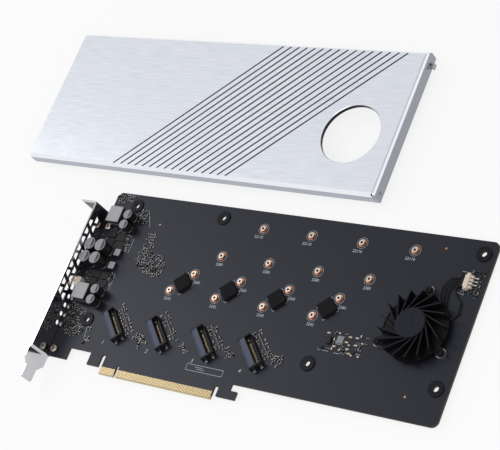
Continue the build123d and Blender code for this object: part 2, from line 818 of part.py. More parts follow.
# Fan header: a moulded shroud with a prong over each pin
pin_rows = [(i - (pin_count - 1) / 2) * header_pitch for i in range(pin_count)]
with BuildPart() as header:
    with BuildSketch(Plane.XY):
        patch(header_x, header_y - header_long / 2, header_x + header_deep, header_y + header_long / 2)
        for row in pin_rows:
            patch(header_x + header_deep, header_y + row - prong_wide / 2,
                  header_x + header_deep + prong_long, header_y + row + prong_wide / 2)
    extrude(amount=header_high)
    with BuildSketch(Plane.XY.offset(header_high - 0.9)):
        patch(header_x + header_deep, header_y - header_long / 2,
              header_x + header_deep + prong_long + 1, header_y + header_long / 2)
    extrude(amount=2, mode=Mode.SUBTRACT)
    with BuildSketch(Plane.XY.offset(header_high)):
        for side in (-1, 1):
            patch(header_x - 0.01, header_y + side * (header_long / 2 - 1.2),
                  header_x + 0.9, header_y + side * header_long / 2)
    extrude(amount=-1.2, mode=Mode.SUBTRACT)
header.part.label = "fan_header"
export_step(header.part, "parts/fan_header.step")

# Header pins: flat solder tails at the foot of each prong
with BuildPart() as header_pins:
    tail_x = header_x + header_deep + prong_long
    with BuildSketch(Plane.XY):
        for row in pin_rows:
            patch(tail_x, header_y + row - tail_wide / 2,
                  tail_x + tail_long, header_y + row + tail_wide / 2)
    extrude(amount=tail_thick)
    with BuildSketch(Plane.XY.offset(tail_thick)):
        for row in pin_rows:
            patch(tail_x, header_y + row - tail_wide / 2, tail_x + 0.4, header_y + row + tail_wide / 2)
    extrude(amount=0.9)
header_pins.part.label = "header_pins"
export_step(header_pins.part, "parts/header_pins.step")

# Fan plug: the housing on the leads' end, pushed into the header
with BuildPart() as plug:
    with BuildSketch(Plane.XY.offset(0.15)):
        patch(header_x - plug_deep, header_y - plug_long / 2, header_x, header_y + plug_long / 2)
    extrude(amount=plug_high)
    chamfer(plug.edges().filter_by(Axis.Y).group_by(Axis.Z)[-1], 0.4)
plug.part.label = "fan_plug"
export_step(plug.part, "parts/fan_plug.step")

# Fan leads: four thin wires that bow from the plug to the fan's rim
with BuildPart() as leads:
    for i, route in enumerate(lead_routes):
        turn = radians(route[-1])
        start = (header_x - plug_deep + 0.5, header_y + ((pin_count - 1) / 2 - i) * lead_pitch)
        inside = fan_base_radius - 0.6
        end = (fan_x + inside * cos(turn), fan_y + inside * sin(turn))
        points = [(x, y, lead_z) for x, y in (start, *route[:-1], end)]
        with BuildLine() as lead_path:
            FilletPolyline(*points, radius=1.9)
        with BuildSketch(Plane(origin=lead_path.line @ 0, z_dir=lead_path.line % 0)):
            Circle(lead_radius)
        sweep(path=lead_path.line)
    add(fan_frame.part, mode=Mode.SUBTRACT)
    add(plug.part, mode=Mode.SUBTRACT)
leads.part.label = "fan_leads"
export_step(leads.part, "parts/fan_leads.step")

# Fan driver chip and its diode
with BuildPart() as driver:
    with BuildSketch(Plane.XY):
        with Locations(driver_spot):
            Rectangle(driver_side, driver_side)
    extrude(amount=driver_high)
    chamfer(driver.edges().group_by(Axis.Z)[-1], 0.12)
driver.part.label = "driver_chip"
export_step(driver.part, "parts/driver_chip.step")

with BuildPart() as diode:
    with BuildSketch(Plane.XY):
        with Locations(diode_spot):
            Rectangle(diode_wide, diode_long)
    extrude(amount=diode_high)
    chamfer(diode.edges().group_by(Axis.Z)[-1], 0.3)
diode.part.label = "driver_diode"
export_step(diode.part, "parts/driver_diode.step")

# Ceramic capacitors: a row beside each socket and a group round the fan driver
with BuildPart() as ceramics:
    with BuildSketch(Plane.XY):
        with Locations(*driver_cap_spots):
            Rectangle(cap_long, cap_wide)
    extrude(amount=cap_high)
    for index in range(module_count):
        with BuildSketch(module_plane(index)):
            with Locations((socket_cap_along, 0)):
                with GridLocations(1, socket_cap_pitch, 1, socket_cap_count):
                    Rectangle(cap_wide, cap_long)
        extrude(amount=cap_high)
ceramics.part.label = "ceramic_capacitors"
export_step(ceramics.part, "parts/ceramic_capacitors.step")

# Cover: seated it would stand over the card on its posts; here it is set down beside it
cover_left = cover_hole_x[0] - cover_left_margin + cover_shift_x
cover_right = cover_hole_x[-1] + cover_right_margin + cover_shift_x
cover_back = cover_hole_high + cover_back_margin + cover_shift_y
cover_front = cover_hole_low - cover_front_margin + cover_shift_y
cover_long = cover_right - cover_left
cover_face = cover_back - cover_front
post_long = cover_top_level - cover_wall - collar_high
cover_top = bracket_low + post_long + cover_wall
cover_rim = cover_top - cover_deep
hole_x = fan_x + cover_shift_x
hole_y = fan_y + cover_shift_y
port_y = (cover_front + end_screw_insets[0], cover_back - end_screw_insets[1])
port_z = cover_top - end_screw_drop
post_spots = [(x + cover_shift_x, y + cover_shift_y) for x, y in cover_holes]

# The shell: folded along both long edges, with slanted grooves and a round intake
with BuildPart() as cover:
    with BuildSketch(Plane.YZ.offset(cover_left)):
        with BuildLine():
            Polyline(
                (cover_front - cover_bevel, cover_rim),
                (cover_front - cover_bevel, cover_top - cover_bevel),
                (cover_front, cover_top), (cover_back, cover_top),
                (cover_back + cover_bevel, cover_top - cover_bevel),
                (cover_back + cover_bevel, cover_rim),
                close=True,
            )
        make_face()
    extrude(amount=cover_long)
    ends = cover.faces().filter_by(Axis.X)
    underside = cover.faces().sort_by(Axis.Z)[0]
    offset(amount=-cover_wall, openings=[*ends, underside])
    with BuildSketch(Plane.YZ.offset(cover_right - port_long)):
        with Locations(*[(y, port_z) for y in port_y]):
            Circle(port_radius)
    extrude(amount=port_long)
    with BuildSketch(Plane.YZ.offset(cover_right - port_long)):
        with Locations(*[(y, port_z) for y in port_y]):
            Circle(end_screw_radius + end_screw_play)
    extrude(amount=port_long, mode=Mode.SUBTRACT)
    with BuildSketch(Plane.XY.offset(cover_top)):
        groove_long = (cover_face + 4 * cover_bevel) * sqrt(2)
        for i in range(groove_count):
            middle_x = cover_left + groove_start + groove_pitch * i + cover_face / 2
            with Locations(Location((middle_x, (cover_front + cover_back) / 2), 45)):
                Rectangle(groove_long, groove_wide)
    extrude(amount=-groove_deep, mode=Mode.SUBTRACT)
    with BuildSketch(Plane.XY.offset(cover_top)):
        with Locations((hole_x, hole_y)):
            Circle(cover_hole)
    extrude(amount=-cover_wall - 0.5, mode=Mode.SUBTRACT)
    hole_rim = cover.edges().filter_by(GeomType.CIRCLE).group_by(Axis.Z)[-1]
    chamfer(hole_rim, cover_hole_edge)
cover.part.label = "cover_shell"
export_step(cover.part, "parts/cover_shell.step")

# End plate: closes the cover's fan end, with a hooked lug near its back corner
with BuildPart() as end_plate:
    with BuildSketch(Plane.YZ.offset(cover_right)):
        with BuildLine():
            Polyline(
                (cover_front - cover_bevel, cover_rim),
                (cover_front - cover_bevel, cover_top - cover_bevel),
                (cover_front, cover_top), (cover_back, cover_top),
                (cover_back + cover_bevel, cover_top - cover_bevel),
                (cover_back + cover_bevel, cover_rim),
                close=True,
            )
        make_face()
    extrude(amount=end_thick)
    outer_top = end_plate.faces().sort_by(Axis.X)[-1].edges().group_by(Axis.Z)[-1]
    chamfer(outer_top, end_bevel)
    with BuildSketch(Plane.YZ.offset(cover_right)):
        with Locations(*[(y, port_z) for y in port_y]):
            Circle(end_screw_radius + end_screw_play)
    extrude(amount=end_thick, mode=Mode.SUBTRACT)
    with BuildSketch(Plane.YZ.offset(cover_right + end_thick)):
        with Locations(*[(y, port_z) for y in port_y]):
            Circle(end_screw_head + end_screw_play)
    extrude(amount=-end_head_deep, mode=Mode.SUBTRACT)
    with BuildSketch(Plane.XZ.offset(-cover_back + lug_inset)):
        lug_level = cover_top - lug_drop
        patch(cover_right + end_thick, lug_level, cover_right + end_thick + lug_reach, lug_level + lug_thick)
        patch(cover_right + end_thick + lug_reach - lug_thick, lug_level - lug_hook,
              cover_right + end_thick + lug_reach, lug_level)
    extrude(amount=-lug_long)
end_plate.part.label = "cover_end_plate"
export_step(end_plate.part, "parts/cover_end_plate.step")

# End screws: sunk heads that hold the end plate on the shell's screw ports
with BuildPart() as end_screws:
    with BuildSketch(Plane.YZ.offset(cover_right + end_thick - end_head_deep - end_screw_length)):
        with Locations(*[(y, port_z) for y in port_y]):
            Circle(end_screw_radius)
    extrude(amount=end_screw_length)
    with BuildSketch(Plane.YZ.offset(cover_right + end_thick - end_head_deep)):
        with Locations(*[(y, port_z) for y in port_y]):
            Circle(end_screw_head)
            RegularPolygon(end_screw_key, 6, mode=Mode.SUBTRACT)
    extrude(amount=end_head_deep * 0.8)
end_screws.part.label = "cover_end_screws"
export_step(end_screws.part, "parts/cover_end_screws.step")

# Posts: six threaded pillars under the cover, which land on the board's collars
with BuildPart() as posts:
    with BuildSketch(Plane.XY.offset(bracket_low)):
        with Locations(*post_spots):
            Circle(post_radius)
    extrude(amount=post_long)
    with BuildSketch(Plane.XY.offset(bracket_low)):
        with Locations(*post_spots):
            Circle(post_bore)
    extrude(amount=post_bore_deep, mode=Mode.SUBTRACT)
posts.part.label = "cover_posts"
export_step(posts.part, "parts/cover_posts.step")

# Thermal pads: soft strips under the cover, one above each module
with BuildPart() as thermal:
    for index in range(module_count):
        pad_origin = (first_module_x + module_pitch * index + cover_shift_x,
                      first_module_y + cover_shift_y, cover_top - cover_wall)
        with BuildSketch(Plane(origin=pad_origin, x_dir=along, z_dir=(0, 0, 1))):
            with Locations((thermal_start + thermal_long / 2, 0)):
                Rectangle(thermal_long, thermal_wide)
        extrude(amount=-thermal_thick)
thermal.part.label = "thermal_pads"
export_step(thermal.part, "parts/thermal_pads.step")
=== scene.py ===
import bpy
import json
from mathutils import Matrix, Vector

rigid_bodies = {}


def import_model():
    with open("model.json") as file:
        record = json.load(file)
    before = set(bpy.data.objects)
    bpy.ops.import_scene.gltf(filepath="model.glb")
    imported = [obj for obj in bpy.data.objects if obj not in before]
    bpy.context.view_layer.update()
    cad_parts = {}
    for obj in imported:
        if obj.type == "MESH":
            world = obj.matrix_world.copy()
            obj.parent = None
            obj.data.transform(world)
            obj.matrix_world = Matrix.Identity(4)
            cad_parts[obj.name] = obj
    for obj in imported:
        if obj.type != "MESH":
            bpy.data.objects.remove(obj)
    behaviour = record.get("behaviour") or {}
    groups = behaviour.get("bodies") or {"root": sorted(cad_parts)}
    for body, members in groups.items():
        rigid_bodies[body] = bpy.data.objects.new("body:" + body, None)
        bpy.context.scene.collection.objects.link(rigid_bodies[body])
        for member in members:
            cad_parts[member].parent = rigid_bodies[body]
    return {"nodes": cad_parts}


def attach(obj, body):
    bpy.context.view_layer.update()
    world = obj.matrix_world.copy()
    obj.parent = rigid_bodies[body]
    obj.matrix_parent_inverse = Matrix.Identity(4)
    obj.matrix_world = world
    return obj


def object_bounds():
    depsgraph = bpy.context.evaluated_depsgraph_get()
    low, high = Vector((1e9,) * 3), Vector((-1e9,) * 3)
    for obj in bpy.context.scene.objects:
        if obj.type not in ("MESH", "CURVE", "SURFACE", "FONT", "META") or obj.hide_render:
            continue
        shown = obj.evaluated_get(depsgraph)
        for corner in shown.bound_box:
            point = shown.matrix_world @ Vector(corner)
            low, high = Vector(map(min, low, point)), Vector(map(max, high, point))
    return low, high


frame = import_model()
cad_box = [list(corner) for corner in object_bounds()]

import json
import random
from math import atan2, cos, pi, radians, sin

import bpy
from mathutils import Matrix, Vector

MM = 0.001
CARD = "card"
nodes = frame["nodes"]

# The circuit board is a routed panel of glass cloth and resin, 1.57 mm thick, under a glossy
# near-black solder mask on both faces. The milled edges show the bare laminate and its layers,
# and the mask shows the cloth's weave and the copper below it as a very faint relief.


def paint(red, green, blue):
    """A colour as the screen shows it, 0 to 255, in the renderer's own light values."""
    return tuple((v / 255 / 12.92) if v < 10.3 else ((v / 255 + 0.055) / 1.055) ** 2.4
                 for v in (red, green, blue))


class Wire:
    """A node's output. Arithmetic on it adds the Math nodes."""

    def __init__(self, finish, socket):
        self.finish, self.socket = finish, socket

    def maths(self, operation, first, second=0.0):
        return self.finish.node("ShaderNodeMath", {"operation": operation}, {0: first, 1: second})

    def __add__(self, other):
        return self.maths("ADD", self, other)

    def __radd__(self, other):
        return self.maths("ADD", other, self)

    def __sub__(self, other):
        return self.maths("SUBTRACT", self, other)

    def __rsub__(self, other):
        return self.maths("SUBTRACT", other, self)

    def __mul__(self, other):
        return self.maths("MULTIPLY", self, other)

    def __rmul__(self, other):
        return self.maths("MULTIPLY", other, self)

    def __gt__(self, other):
        return self.maths("GREATER_THAN", self, other)

    def __lt__(self, other):
        return self.maths("LESS_THAN", self, other)

    def __abs__(self):
        return self.maths("ABSOLUTE", self)

    def length_with(self, other):
        return self.maths("SQRT", self * self + other * other)


class Finish:
    """A material for one finish of this card."""

    def __init__(self, name, colour, rough, metal=0.0, fixed=None):
        self.material = bpy.data.materials.new(name)
        self.material.use_nodes = True
        self.tree = self.material.node_tree
        self.shader = self.tree.nodes["Principled BSDF"]
        self.give("Base Color", (*colour, 1.0))
        self.give("Roughness", rough)
        self.give("Metallic", metal)
        for socket, value in (fixed or {}).items():
            self.give(socket, value)

    def give(self, socket, value):
        self.join(self.shader.inputs[socket], value)

    def join(self, socket, value):
        if isinstance(value, Wire):
            self.tree.links.new(value.socket, socket)
        else:
            socket.default_value = value

    def node(self, kind, settings=None, sockets=None, take=0):
        made = self.tree.nodes.new(kind)
        for key, value in (settings or {}).items():
            setattr(made, key, value)
        for key, value in (sockets or {}).items():
            self.join(made.inputs[key], value)
        return Wire(self, made.outputs[take])

    def spot(self):
        return self.node("ShaderNodeTexCoord", take="Object")

    def along(self, axis):
        return self.node("ShaderNodeSeparateXYZ", None, {0: self.spot()}, axis)

    def facing(self, axis):
        normal = self.node("ShaderNodeNewGeometry", take="Normal")
        return self.node("ShaderNodeSeparateXYZ", None, {0: normal}, axis)

    def grain(self, scale, detail=2.0, stretch=(1.0, 1.0, 1.0)):
        placed = self.node("ShaderNodeMapping", None, {"Vector": self.spot(), "Scale": stretch})
        sockets = {"Vector": placed, "Scale": scale, "Detail": detail}
        return self.node("ShaderNodeTexNoise", None, sockets)

    def colours(self, mask, low, high):
        low = low if isinstance(low, Wire) else (*low, 1.0)
        high = high if isinstance(high, Wire) else (*high, 1.0)
        return self.node("ShaderNodeMix", {"data_type": "RGBA"}, {0: mask, 6: low, 7: high}, 2)

    def tint(self, mask, low, high):
        self.give("Base Color", self.colours(mask, low, high))

    def relief(self, height, depth):
        """A bump whose full height is the depth in millimetres."""
        self.give("Normal", self.node("ShaderNodeBump", None, {
            "Height": height, "Distance": depth * MM, "Strength": 1.0}))

    def on(self, *names):
        for name in names:
            node = nodes[name]
            node.data.materials.clear()
            node.data.materials.append(self.material)


mask_finish = Finish("solder_mask", paint(24, 24, 30), 0.4, 0.0,
                     {"Specular IOR Level": 0.3, "Specular Tint": (0.8, 0.85, 1.0, 1.0)})
cloth = (mask_finish.grain(900.0, 1.0, (1.0, 0.35, 1.0))
         + mask_finish.grain(900.0, 1.0, (0.35, 1.0, 1.0)))
pour = mask_finish.grain(38.0, 3.0)
mask_colour = mask_finish.colours(pour, paint(11, 12, 18), paint(17, 18, 26))
layers = mask_finish.grain(1.0, 1.0, (60.0, 60.0, 4200.0))
laminate = mask_finish.colours(layers, paint(52, 47, 36), paint(92, 84, 62))
edge_mask = abs(mask_finish.facing(2)) < 0.5
lead_in = (abs(mask_finish.facing(2)) < 0.97) * (mask_finish.along(1) < 2.0 * MM)
bare = mask_finish.colours(layers, paint(176, 160, 122), paint(206, 192, 152))
mask_colour = mask_finish.colours(edge_mask, mask_colour, laminate)
mask_finish.tint(lead_in, mask_colour, bare)
mask_finish.give("Roughness", 0.36 + pour * 0.08 + edge_mask * 0.3)
mask_finish.relief(cloth * 0.5 + pour, 0.02)
mask_finish.on("circuit_board")

# The white legend is printed on the mask in lines about 0.15 mm wide: rings round the nuts,
# corner marks round the support pads, plain numbers for the module lengths, and short rules
# that box in the groups of small parts. The ink stands 0.02 mm proud of the mask.
INK_TOP = 0.02
ink_finish = Finish("legend_ink", paint(190, 198, 206), 0.55)
ink_patches = ink_finish.grain(2600.0, 2.0)
ink_finish.tint(ink_patches, paint(150, 160, 170), paint(205, 212, 218))
ink_finish.relief(ink_patches, 0.01)


def alone(piece):
    bpy.ops.object.select_all(action="DESELECT")
    piece.select_set(True)
    bpy.context.view_layer.objects.active = piece


def block(name, size, centre, rounding=0.0, turn=0.0):
    """A box in millimetres, its edges bevelled in edit mode, its place in its mesh."""
    bpy.ops.object.select_all(action="DESELECT")
    bpy.ops.mesh.primitive_cube_add(size=1.0, location=[v * MM for v in centre],
                                    rotation=(0, 0, turn), scale=[v * MM for v in size])
    piece = bpy.context.object
    piece.name = name
    bpy.ops.object.transform_apply(location=True, rotation=True, scale=True)
    if rounding:
        bpy.ops.object.mode_set(mode="EDIT")
        bpy.ops.mesh.select_all(action="SELECT")
        bpy.ops.mesh.bevel(offset=rounding * MM, segments=2, affect="EDGES")
        bpy.ops.object.mode_set(mode="OBJECT")
    return piece


def ring(name, centre, inner, outer, bottom, top, sides=32):
    """A flat ring: a circle, its edge extruded outwards and then given its thickness."""
    bpy.ops.object.select_all(action="DESELECT")
    bpy.ops.mesh.primitive_circle_add(vertices=sides, radius=inner * MM,
                                      location=(centre[0] * MM, centre[1] * MM, bottom * MM))
    piece = bpy.context.object
    piece.name = name
    bpy.ops.object.mode_set(mode="EDIT")
    bpy.ops.mesh.select_all(action="SELECT")
    bpy.ops.mesh.extrude_edges_move()
    bpy.ops.transform.resize(value=(outer / inner, outer / inner, 1))
    bpy.ops.mesh.select_all(action="SELECT")
    bpy.ops.mesh.extrude_region_move(TRANSFORM_OT_translate={"value": (0, 0, (top - bottom) * MM)})
    bpy.ops.mesh.select_all(action="SELECT")
    bpy.ops.mesh.normals_make_consistent(inside=False)
    bpy.ops.object.mode_set(mode="OBJECT")
    bpy.ops.object.transform_apply(location=True, rotation=True, scale=True)
    return piece


def joined(name, pieces):
    """Several meshes made one piece."""
    bpy.ops.object.select_all(action="DESELECT")
    for piece in pieces:
        piece.select_set(True)
    bpy.context.view_layer.objects.active = pieces[0]
    if len(pieces) > 1:
        bpy.ops.object.join()
    pieces[0].name = name
    return pieces[0]


def set_out(name, master, places):
    """Copies of one modelled part, each (x, y, z, turn in degrees), joined as one piece."""
    copies = []
    for x, y, z, turn in places:
        mesh = master.data.copy()
        place = Matrix.Translation((x * MM, y * MM, z * MM))
        mesh.transform(place @ Matrix.Rotation(radians(turn), 4, "Z"))
        copy = bpy.data.objects.new(name, mesh)
        bpy.context.collection.objects.link(copy)
        copies.append(copy)
    return joined(name, copies)


def dressed(piece, finish, body=CARD):
    """Gives a piece its body, and a material slot with its finish if it has none."""
    if len(piece.data.materials) == 0:
        piece.data.materials.append(finish.material)
    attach(piece, body)


def rule(start, end, wide=0.15):
    """A printed line between two points."""
    run = Vector((end[0] - start[0], end[1] - start[1]))
    middle = ((start[0] + end[0]) / 2, (start[1] + end[1]) / 2, INK_TOP / 2)
    return block("rule", (run.length + wide, wide, INK_TOP), middle, turn=atan2(run.y, run.x))


def lettering(text, centre, high, lean=0.0):
    """Plain printed figures, made a mesh with the ink's thickness."""
    bpy.ops.object.select_all(action="DESELECT")
    bpy.ops.object.text_add(location=(centre[0] * MM, centre[1] * MM, INK_TOP / 2 * MM))
    piece = bpy.context.object
    piece.data.body = text
    piece.data.size = high * MM
    piece.data.extrude = INK_TOP / 2 * MM
    piece.data.shear = lean
    piece.data.resolution_u = 2
    piece.data.align_x = "CENTER"
    piece.data.align_y = "CENTER"
    bpy.ops.object.convert(target="MESH")
    bpy.ops.object.transform_apply(location=True, rotation=True, scale=True)
    return piece


MODULES = range(4)
MODULE_TURN = 44.65
MODULE_PITCH = 34.48
FIRST_MODULE = (-16.13, 30.05)
MODULE_LENGTHS = (42.0, 60.0, 80.0, 110.0)
PAD_CENTRE = (51.55, -1.5)
PAD_MARK_HALF = 5.3
PAD_MARK_INNER = 3.7
# where each length's number stands from its nut
NUMBER_DROP = {42.0: (0.6, -5.3), 60.0: (3.9, -4.9), 80.0: (0.4, -5.4), 110.0: (-1.4, -5.4)}
along_x, along_y = cos(radians(MODULE_TURN)), sin(radians(MODULE_TURN))


def by_module(index, run, aside=0.0):
    """A point on the board by its distance along a module and to the module's left."""
    return (FIRST_MODULE[0] + MODULE_PITCH * index + along_x * run - along_y * aside,
            FIRST_MODULE[1] + along_y * run + along_x * aside)


NUT_SPOTS = [by_module(index, run) for index in MODULES for run in MODULE_LENGTHS]
RULES = (
    ((47.8, 17.7), (74.1, 17.7)), ((74.1, 17.7), (74.1, 13.9)), ((74.1, 13.9), (47.8, 13.9)),
    ((47.8, 13.9), (47.8, 17.7)), ((-29.4, 88.5), (-29.6, 78.8)), ((-31.9, 63.0), (-31.6, 53.6)),
    ((-50.4, 117.3), (-40.8, 117.3)), ((-26.5, 108.0), (-21.6, 98.1)),
    ((-36.0, 29.0), (-34.4, 20.0)), ((-42.5, 38.9), (-41.0, 24.0)),
    ((198.0, 99.2), (201.0, 99.2)), ((198.2, 86.6), (201.4, 86.6)),
    ((210.4, 98.2), (212.0, 98.2)), ((131.6, 40.9), (135.6, 40.9)),
    ((139.2, 40.6), (143.0, 40.6)), ((151.6, 42.2), (155.8, 42.2)),
    ((54.0, 16.4), (59.2, 16.4)), ((55.4, 15.3), (61.0, 15.3)),
)
legend = []
for index in MODULES:
    for run in MODULE_LENGTHS:
        spot, drop = by_module(index, run), NUMBER_DROP[run]
        legend.append(ring("nut_ring", spot, 3.3, 3.45, 0.0, INK_TOP))
        legend.append(lettering(f"22{run:.0f}", (spot[0] + drop[0], spot[1] + drop[1]), 2.5))
    for sx in (-1, 1):
        for sy in (-1, 1):
            outer_x, inner_x = (PAD_CENTRE[0] + sx * d for d in (PAD_MARK_HALF, PAD_MARK_INNER))
            outer_y, inner_y = (PAD_CENTRE[1] + sy * d for d in (PAD_MARK_HALF, PAD_MARK_INNER))
            corner = by_module(index, outer_x, outer_y)
            legend += [rule(corner, by_module(index, inner_x, outer_y)),
                       rule(corner, by_module(index, outer_x, inner_y))]
    digit_spot = (by_module(index, 0)[0] - 3.0, 19.6)
    legend.append(lettering(str(index + 1), digit_spot, 3.4, lean=0.2))
for start, end in RULES:
    legend.append(rule(start, end, 0.2))
legend_piece = joined("printed_legend", legend)
dressed(legend_piece, ink_finish)

# The edge contacts are copper fingers under hard gold, one millimetre apart on both faces.
# They are smooth, with faint rub marks along each finger and a painted shade on the strip
# between them.
gold_finish = Finish("hard_gold", paint(172, 154, 116), 0.3, 1.0)
rub = gold_finish.grain(1.0, 3.0, (5200.0, 320.0, 800.0))
gold = gold_finish.colours(rub, paint(152, 136, 102), paint(184, 168, 132))
# the strip between the fingers is painted darker, as shade
painted_gap_shade = gold_finish.colours(rub, paint(88, 74, 50), paint(118, 102, 72))
finger = gold_finish.along(0) * (1 / MM) + 100.0  # the 100 keeps it positive
across = gold_finish.node("ShaderNodeMath", {"operation": "FRACT"}, {0: finger})
gold_finish.tint(abs(across - 0.5) > 0.22, gold, painted_gap_shade)
gold_finish.give("Roughness", 0.22 + rub * 0.2)
gold_finish.relief(rub, 0.004)
gold_finish.on("edge_contacts")

# The copper lands are the bare rings that the module nuts are soldered to, and the aiming
# marks that the placing machine finds. A thin flux film keeps them orange and half glossy.
copper_finish = Finish("bare_copper", paint(176, 124, 96), 0.35, 1.0)
tarnish = copper_finish.grain(1500.0, 3.0)
copper_finish.tint(tarnish, paint(150, 94, 68), paint(196, 146, 118))
copper_finish.give("Roughness", 0.28 + tarnish * 0.22)
copper_finish.relief(tarnish, 0.01)
COPPER_TOP = 0.05
AIMING_MARKS = ((-14.4, 100.6), (183.5, 111.1), (190.9, 24.3))
lands = [ring("land", spot, 1.75, 2.5, 0.0, COPPER_TOP) for spot in NUT_SPOTS]
lands += [ring("mark", spot, 0.05, 0.6, 0.0, COPPER_TOP, 24) for spot in AIMING_MARKS]
dressed(joined("copper_lands", lands), copper_finish)

# The module nuts are round threaded bushes of tinned brass, sixteen in four slanted rows.
# Each is soldered on its land; its sides are painted darker than its top as shade, and the
# thread inside is painted dark as shade in the bore.
nut_finish = Finish("tinned_brass", paint(190, 176, 164), 0.28, 1.0)
turning = nut_finish.grain(3000.0, 2.0)
nut_tone = nut_finish.colours(turning, paint(150, 130, 114), paint(226, 216, 206))
nut_wall_shade = nut_finish.colours(turning, paint(92, 72, 58), paint(136, 112, 94))
# the sides are painted darker than the top, as shade
nut_finish.tint(nut_finish.facing(2) > 0.5, nut_wall_shade, nut_tone)
nut_finish.give("Roughness", 0.2 + turning * 0.22)
nut_finish.relief(turning, 0.01)
nut_finish.on("module_nuts")
# the thread is painted dark, as shade inside the bore
thread_shade_finish = Finish("thread_painted_shade", paint(40, 34, 30), 0.45, 0.6)
threads = thread_shade_finish.grain(1.0, 0.0, (200.0, 200.0, 5200.0))
thread_shade_finish.tint(threads, paint(26, 22, 20), paint(92, 78, 66))
thread_shade_finish.relief(threads, 0.05)
thread = ring("thread", (0, 0), 0.62, 0.78, 0.1, 0.8, 16)
for_nuts = [(*spot, 0.0, 0.0) for spot in NUT_SPOTS]
dressed(set_out("nut_threads", thread, for_nuts), thread_shade_finish)
bpy.data.objects.remove(thread)

# The six collars are black moulded rings round the cover's screw holes. They keep the cover's
# posts off the printed tracks, and are softly matte with a rounded outer edge.
black_finish = Finish("black_moulding", paint(14, 14, 17), 0.4, 0.0,
                      {"Specular IOR Level": 0.14, "Specular Tint": (0.8, 0.85, 1.0, 1.0)})
moulding = black_finish.grain(1800.0, 3.0)
black_finish.tint(moulding, paint(9, 9, 12), paint(19, 19, 23))
black_finish.give("Roughness", 0.32 + moulding * 0.16)
black_finish.relief(moulding, 0.02)
black_finish.on("hole_collars")

# Each module socket is moulded nylon with a black floor and black end blocks. The upper part
# of its back block is painted slate grey as a sheen, with painted shade in the contact slots
# across it. It has two rows of sprung contacts and a tinned hold-down tab at each end.
pin_finish = Finish("socket_contacts", paint(140, 124, 104), 0.3, 1.0)
pin_rub = pin_finish.grain(2400.0, 2.0)
pin_finish.tint(pin_rub, paint(108, 94, 76), paint(164, 148, 126))
pin_finish.give("Roughness", 0.22 + pin_rub * 0.2)
tin_finish = Finish("tinned_lead", paint(214, 214, 212), 0.3, 1.0)
solder = tin_finish.grain(2200.0, 3.0)
tin_finish.tint(solder, paint(168, 168, 168), paint(232, 232, 230))
tin_finish.give("Roughness", 0.22 + solder * 0.25)
tin_finish.relief(solder, 0.02)

lead = block("lead", (0.24, 0.8, 0.14), (0, -0.4, 0.1))
bpy.ops.object.mode_set(mode="EDIT")
bpy.ops.mesh.select_all(action="DESELECT")
bpy.ops.object.mode_set(mode="OBJECT")
for face in lead.data.polygons:
    face.select = face.normal.y > 0.9
bpy.ops.object.mode_set(mode="EDIT")
bpy.ops.mesh.select_mode(type="FACE")
bpy.ops.mesh.extrude_region_move(TRANSFORM_OT_translate={"value": (0, 0.15 * MM, 0.35 * MM)})
bpy.ops.object.mode_set(mode="OBJECT")
tab = block("tab", (1.5, 1.7, 0.3), (0, 0, 0.15), 0.08)
for index in MODULES:
    socket_finish = Finish(f"socket_nylon_{index + 1}", paint(60, 64, 78), 0.42, 0.0,
                           {"Specular IOR Level": 0.2})
    speckle = socket_finish.grain(1600.0, 3.0)
    from_x = socket_finish.along(0) - (FIRST_MODULE[0] + MODULE_PITCH * index) * MM
    from_y = socket_finish.along(1) - FIRST_MODULE[1] * MM
    along = from_x * along_x + from_y * along_y
    across = abs(from_y * along_x - from_x * along_y)
    # the upper part of the back block is painted slate grey, as a sheen on the black nylon
    sheen_roof = (socket_finish.along(2) > 2.7 * MM) * (along < 1.75 * MM) * (across < 9.9 * MM)
    wave = socket_finish.node("ShaderNodeMath", {"operation": "SINE"}, {0: across * 2400.0})
    # the contact slots across it are painted darker, as shade
    slot_shade = (abs(wave) < 0.35) * (socket_finish.along(2) < 4.1 * MM)
    lower = socket_finish.colours(speckle, paint(9, 9, 11), paint(19, 19, 22))
    upper = socket_finish.colours(speckle, paint(62, 67, 84), paint(82, 88, 106))
    upper = socket_finish.colours(slot_shade * 0.35, upper, paint(30, 32, 40))
    socket_finish.tint(sheen_roof, lower, upper)
    socket_finish.give("Roughness", 0.36 + speckle * 0.2)
    socket_finish.relief(speckle, 0.02)
    socket_finish.on(f"m2_socket_{index + 1}")
    pin_finish.on(f"m2_contacts_{index + 1}")
    leads = [(*by_module(index, -2.7, -9.0 + 0.5 * i), 0.0, MODULE_TURN - 90) for i in range(37)]
    tabs = [(*by_module(index, run, side * 11.4), 0.0, MODULE_TURN)
            for run in (-1.2, 3.6) for side in (-1, 1)]
    row = joined(f"socket_leads_{index + 1}",
                 [set_out("row", lead, leads), set_out("tabs", tab, tabs)])
    dressed(row, tin_finish)
bpy.data.objects.remove(lead)
bpy.data.objects.remove(tab)

# The support pads are soft squares stuck under the middle of each module. They are dark,
# dead matte and a little dusty.
pad_finish = Finish("soft_pad", paint(18, 18, 20), 0.9, 0.0, {"Specular IOR Level": 0.15})
dust = pad_finish.grain(1400.0, 4.0)
pad_finish.tint(dust, paint(13, 13, 15), paint(26, 26, 28))
pad_finish.relief(dust, 0.05)
pad_finish.on("support_pad_1", "support_pad_2", "support_pad_3", "support_pad_4")

# The big chokes are pressed from grey metal powder round a coil, and the small ones are the
# same kind. Their tops are smooth and pale grey from the press, with a fine sandy grain, and
# their sides are painted nearly black as shade.
choke_finish = Finish("pressed_powder", paint(124, 122, 127), 0.5)
powder = choke_finish.grain(1900.0, 4.0)
top_face = choke_finish.facing(2) > 0.6
# the sides are painted nearly black, as shade
side_shade_grey = choke_finish.colours(powder, paint(26, 26, 29), paint(44, 44, 48))
top_grey = choke_finish.colours(powder, paint(142, 141, 145), paint(170, 169, 173))
choke_finish.tint(top_face, side_shade_grey, top_grey)
choke_finish.give("Roughness", 0.42 + powder * 0.2)
choke_finish.relief(powder, 0.04)
choke_finish.on("upper_choke", "lower_choke", "small_chokes")

